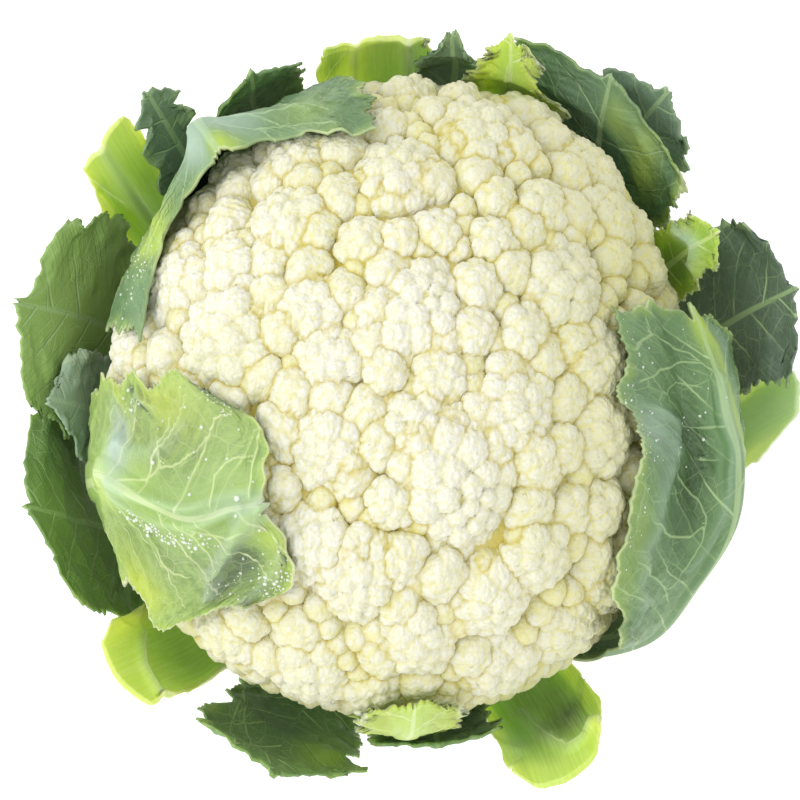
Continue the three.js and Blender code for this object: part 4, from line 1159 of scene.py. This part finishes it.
class CAULIFLOWER_OT_curd(bpy.types.Operator):
    """Build the florets, each with its lobes, buds and grains, and the core under them"""

    bl_idname = "cauliflower.curd"
    bl_label = "Curd"

    def execute(self, context):
        settings = context.scene.cauliflower_curd
        material = curd_material(settings)
        form = curd_form()
        spacing = settings.spacing / MM * 1
        for index in range(len(form)):
            step = spacing if index < len(FLORETS) else spacing * SMALL_STEP
            points, faces, crease = floret_surface(index, form, step)
            make_piece(f"floret_{index:03d}", (points + MIDDLE) * OVAL, faces, material, "curd", "curd",
                       {"crease": crease})
        points, faces = core_surface()
        # The core shows only in the gaps between florets, so it takes the seam colour all over as
        # painted shade.
        painted_gap_shade = np.tile([1.0, 0, 0], (len(points), 1))
        make_piece("curd_core", points * OVAL, faces, material, "curd", "curd", {"crease": painted_gap_shade})
        return {"FINISHED"}


class CAULIFLOWER_OT_leaves(bpy.types.Operator):
    """Build the leaves, with their ribs, veins, teeth and waves"""

    bl_idname = "cauliflower.leaves"
    bl_label = "Leaves"

    def execute(self, context):
        group = leaf_group()
        materials = {colour: leaf_material(colour, group) for colour in LEAF_COLOURS}
        water = water_material()
        for number, (node, leaf) in enumerate(LEAVES.items()):
            points, faces, values, drops = leaf_sheet(leaf, number)
            material, slot = materials[leaf["colour"]], f"leaf_{leaf['colour']}"
            make_piece(f"{node}_blade", points, faces, material, node, slot, values)
            if drops[0]:
                make_piece(f"{node}_drops", np.concatenate(drops[0]), drops[1], water, node, slot)
        return {"FINISHED"}


class CAULIFLOWER_OT_stem(bpy.types.Operator):
    """Build the cut stem"""

    bl_idname = "cauliflower.stem"
    bl_label = "Stem"

    def execute(self, context):
        turn = np.radians(np.arange(0, 360, 3.0))
        height = np.array([STEM_HEIGHT, *np.linspace(STEM_HEIGHT - 3, 3, 40), 1.2, 0.4, 0])
        radius = STEM_RADIUS - np.array([1.5, *([0.3] * 41), 0.6, 1.2])
        h, a = np.meshgrid(height, turn, indexing="ij")
        r = radius[:, None] * (1 - 0.03 * smooth(1, 4, h) * (0.5 + 0.5 * ripple(8 * a, h, 3.0, 12)))
        points = np.stack([r * np.cos(a), r * np.sin(a), h], -1)
        points, faces = closed_form([0, 0, STEM_HEIGHT], points, [0, 0, 0])
        make_piece("stem_stump", points * OVAL, faces, stem_material(), "stem", "stem")
        return {"FINISHED"}


def put(scene, name, data, place=None):
    """Adds an object to the scene, and where it is given a place, turns it there towards the head."""
    thing = bpy.data.objects.new(name, data)
    if place:
        thing.location = place
        thing.rotation_euler = (AIM - place).to_track_quat("-Z", "Y").to_euler()
    scene.collection.objects.link(thing)
    return thing


class CAULIFLOWER_OT_stage(bpy.types.Operator):
    """Set the floor, the lights and the camera"""

    bl_idname = "cauliflower.stage"
    bl_label = "Stage"

    def execute(self, context):
        settings, scene = context.scene.cauliflower_stage, context.scene
        mesh = bpy.data.meshes.new("floor")
        corners = [(x * FLOOR_HALF, y * FLOOR_HALF, 0) for x, y in ((-1, -1), (1, -1), (1, 1), (-1, 1))]
        mesh.from_pydata(corners, [], [(0, 1, 2, 3)])
        material, t, shader = new_material("floor")
        t.feed(shader, {"Base Color": (0.96, 0.96, 0.95, 1), "Roughness": 0.9,
                        "Emission Color": (1, 1, 1, 1), "Emission Strength": 0.35})
        mesh.materials.append(material)
        put(scene, "floor", mesh)
        away = Vector((0, -math.cos(settings.elevation), math.sin(settings.elevation)))
        lens = bpy.data.cameras.new("camera")
        lens.lens = lens.sensor_width * settings.distance / settings.frame_width
        lens.clip_end = 20
        scene.camera = put(scene, "camera", lens, AIM + away * settings.distance)
        for name, place, size, power in LIGHTS:
            lamp = bpy.data.lights.new(name, "AREA")
            lamp.size, lamp.energy = size, power
            put(scene, name, lamp, Vector(place))
        world = bpy.data.worlds.new("studio")
        world.use_nodes = True
        Nodes(world.node_tree).feed(world.node_tree.nodes["Background"],
                                    {"Color": (1, 1, 1, 1), "Strength": WORLD_LIGHT})
        scene.world = world
        scene.view_settings.view_transform = "Standard"
        return {"FINISHED"}


class CAULIFLOWER_PT_panel(bpy.types.Panel):
    """The pieces of the head, each with its button"""

    bl_idname = "CAULIFLOWER_PT_panel"
    bl_label = "Cauliflower"
    bl_space_type = "VIEW_3D"
    bl_region_type = "UI"
    bl_category = "Cauliflower"

    def draw(self, context):
        layout = self.layout
        for settings in (context.scene.cauliflower_curd, context.scene.cauliflower_stage):
            for key in settings.bl_rna.properties.keys():
                if key not in ("rna_type", "name"):
                    layout.prop(settings, key)
        for operator in OPERATORS:
            layout.operator(operator.bl_idname)


OPERATORS = (CAULIFLOWER_OT_stage, CAULIFLOWER_OT_stem, CAULIFLOWER_OT_curd, CAULIFLOWER_OT_leaves)
CLASSES = (CurdSettings, StageSettings, *OPERATORS, CAULIFLOWER_PT_panel)


def register():
    """Registers the classes and gives the scene its settings."""
    for cls in CLASSES:
        bpy.utils.register_class(cls)
    bpy.types.Scene.cauliflower_curd = bpy.props.PointerProperty(type=CurdSettings)
    bpy.types.Scene.cauliflower_stage = bpy.props.PointerProperty(type=StageSettings)


def unregister():
    """Takes the settings and the classes away again."""
    del bpy.types.Scene.cauliflower_stage
    del bpy.types.Scene.cauliflower_curd
    for cls in reversed(CLASSES):
        bpy.utils.unregister_class(cls)


def main():
    """Builds the head."""
    register()
    bpy.ops.cauliflower.stage()
    bpy.ops.cauliflower.stem()
    bpy.ops.cauliflower.curd()
    bpy.ops.cauliflower.leaves()
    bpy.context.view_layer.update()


if __name__ == "__main__":
    main()
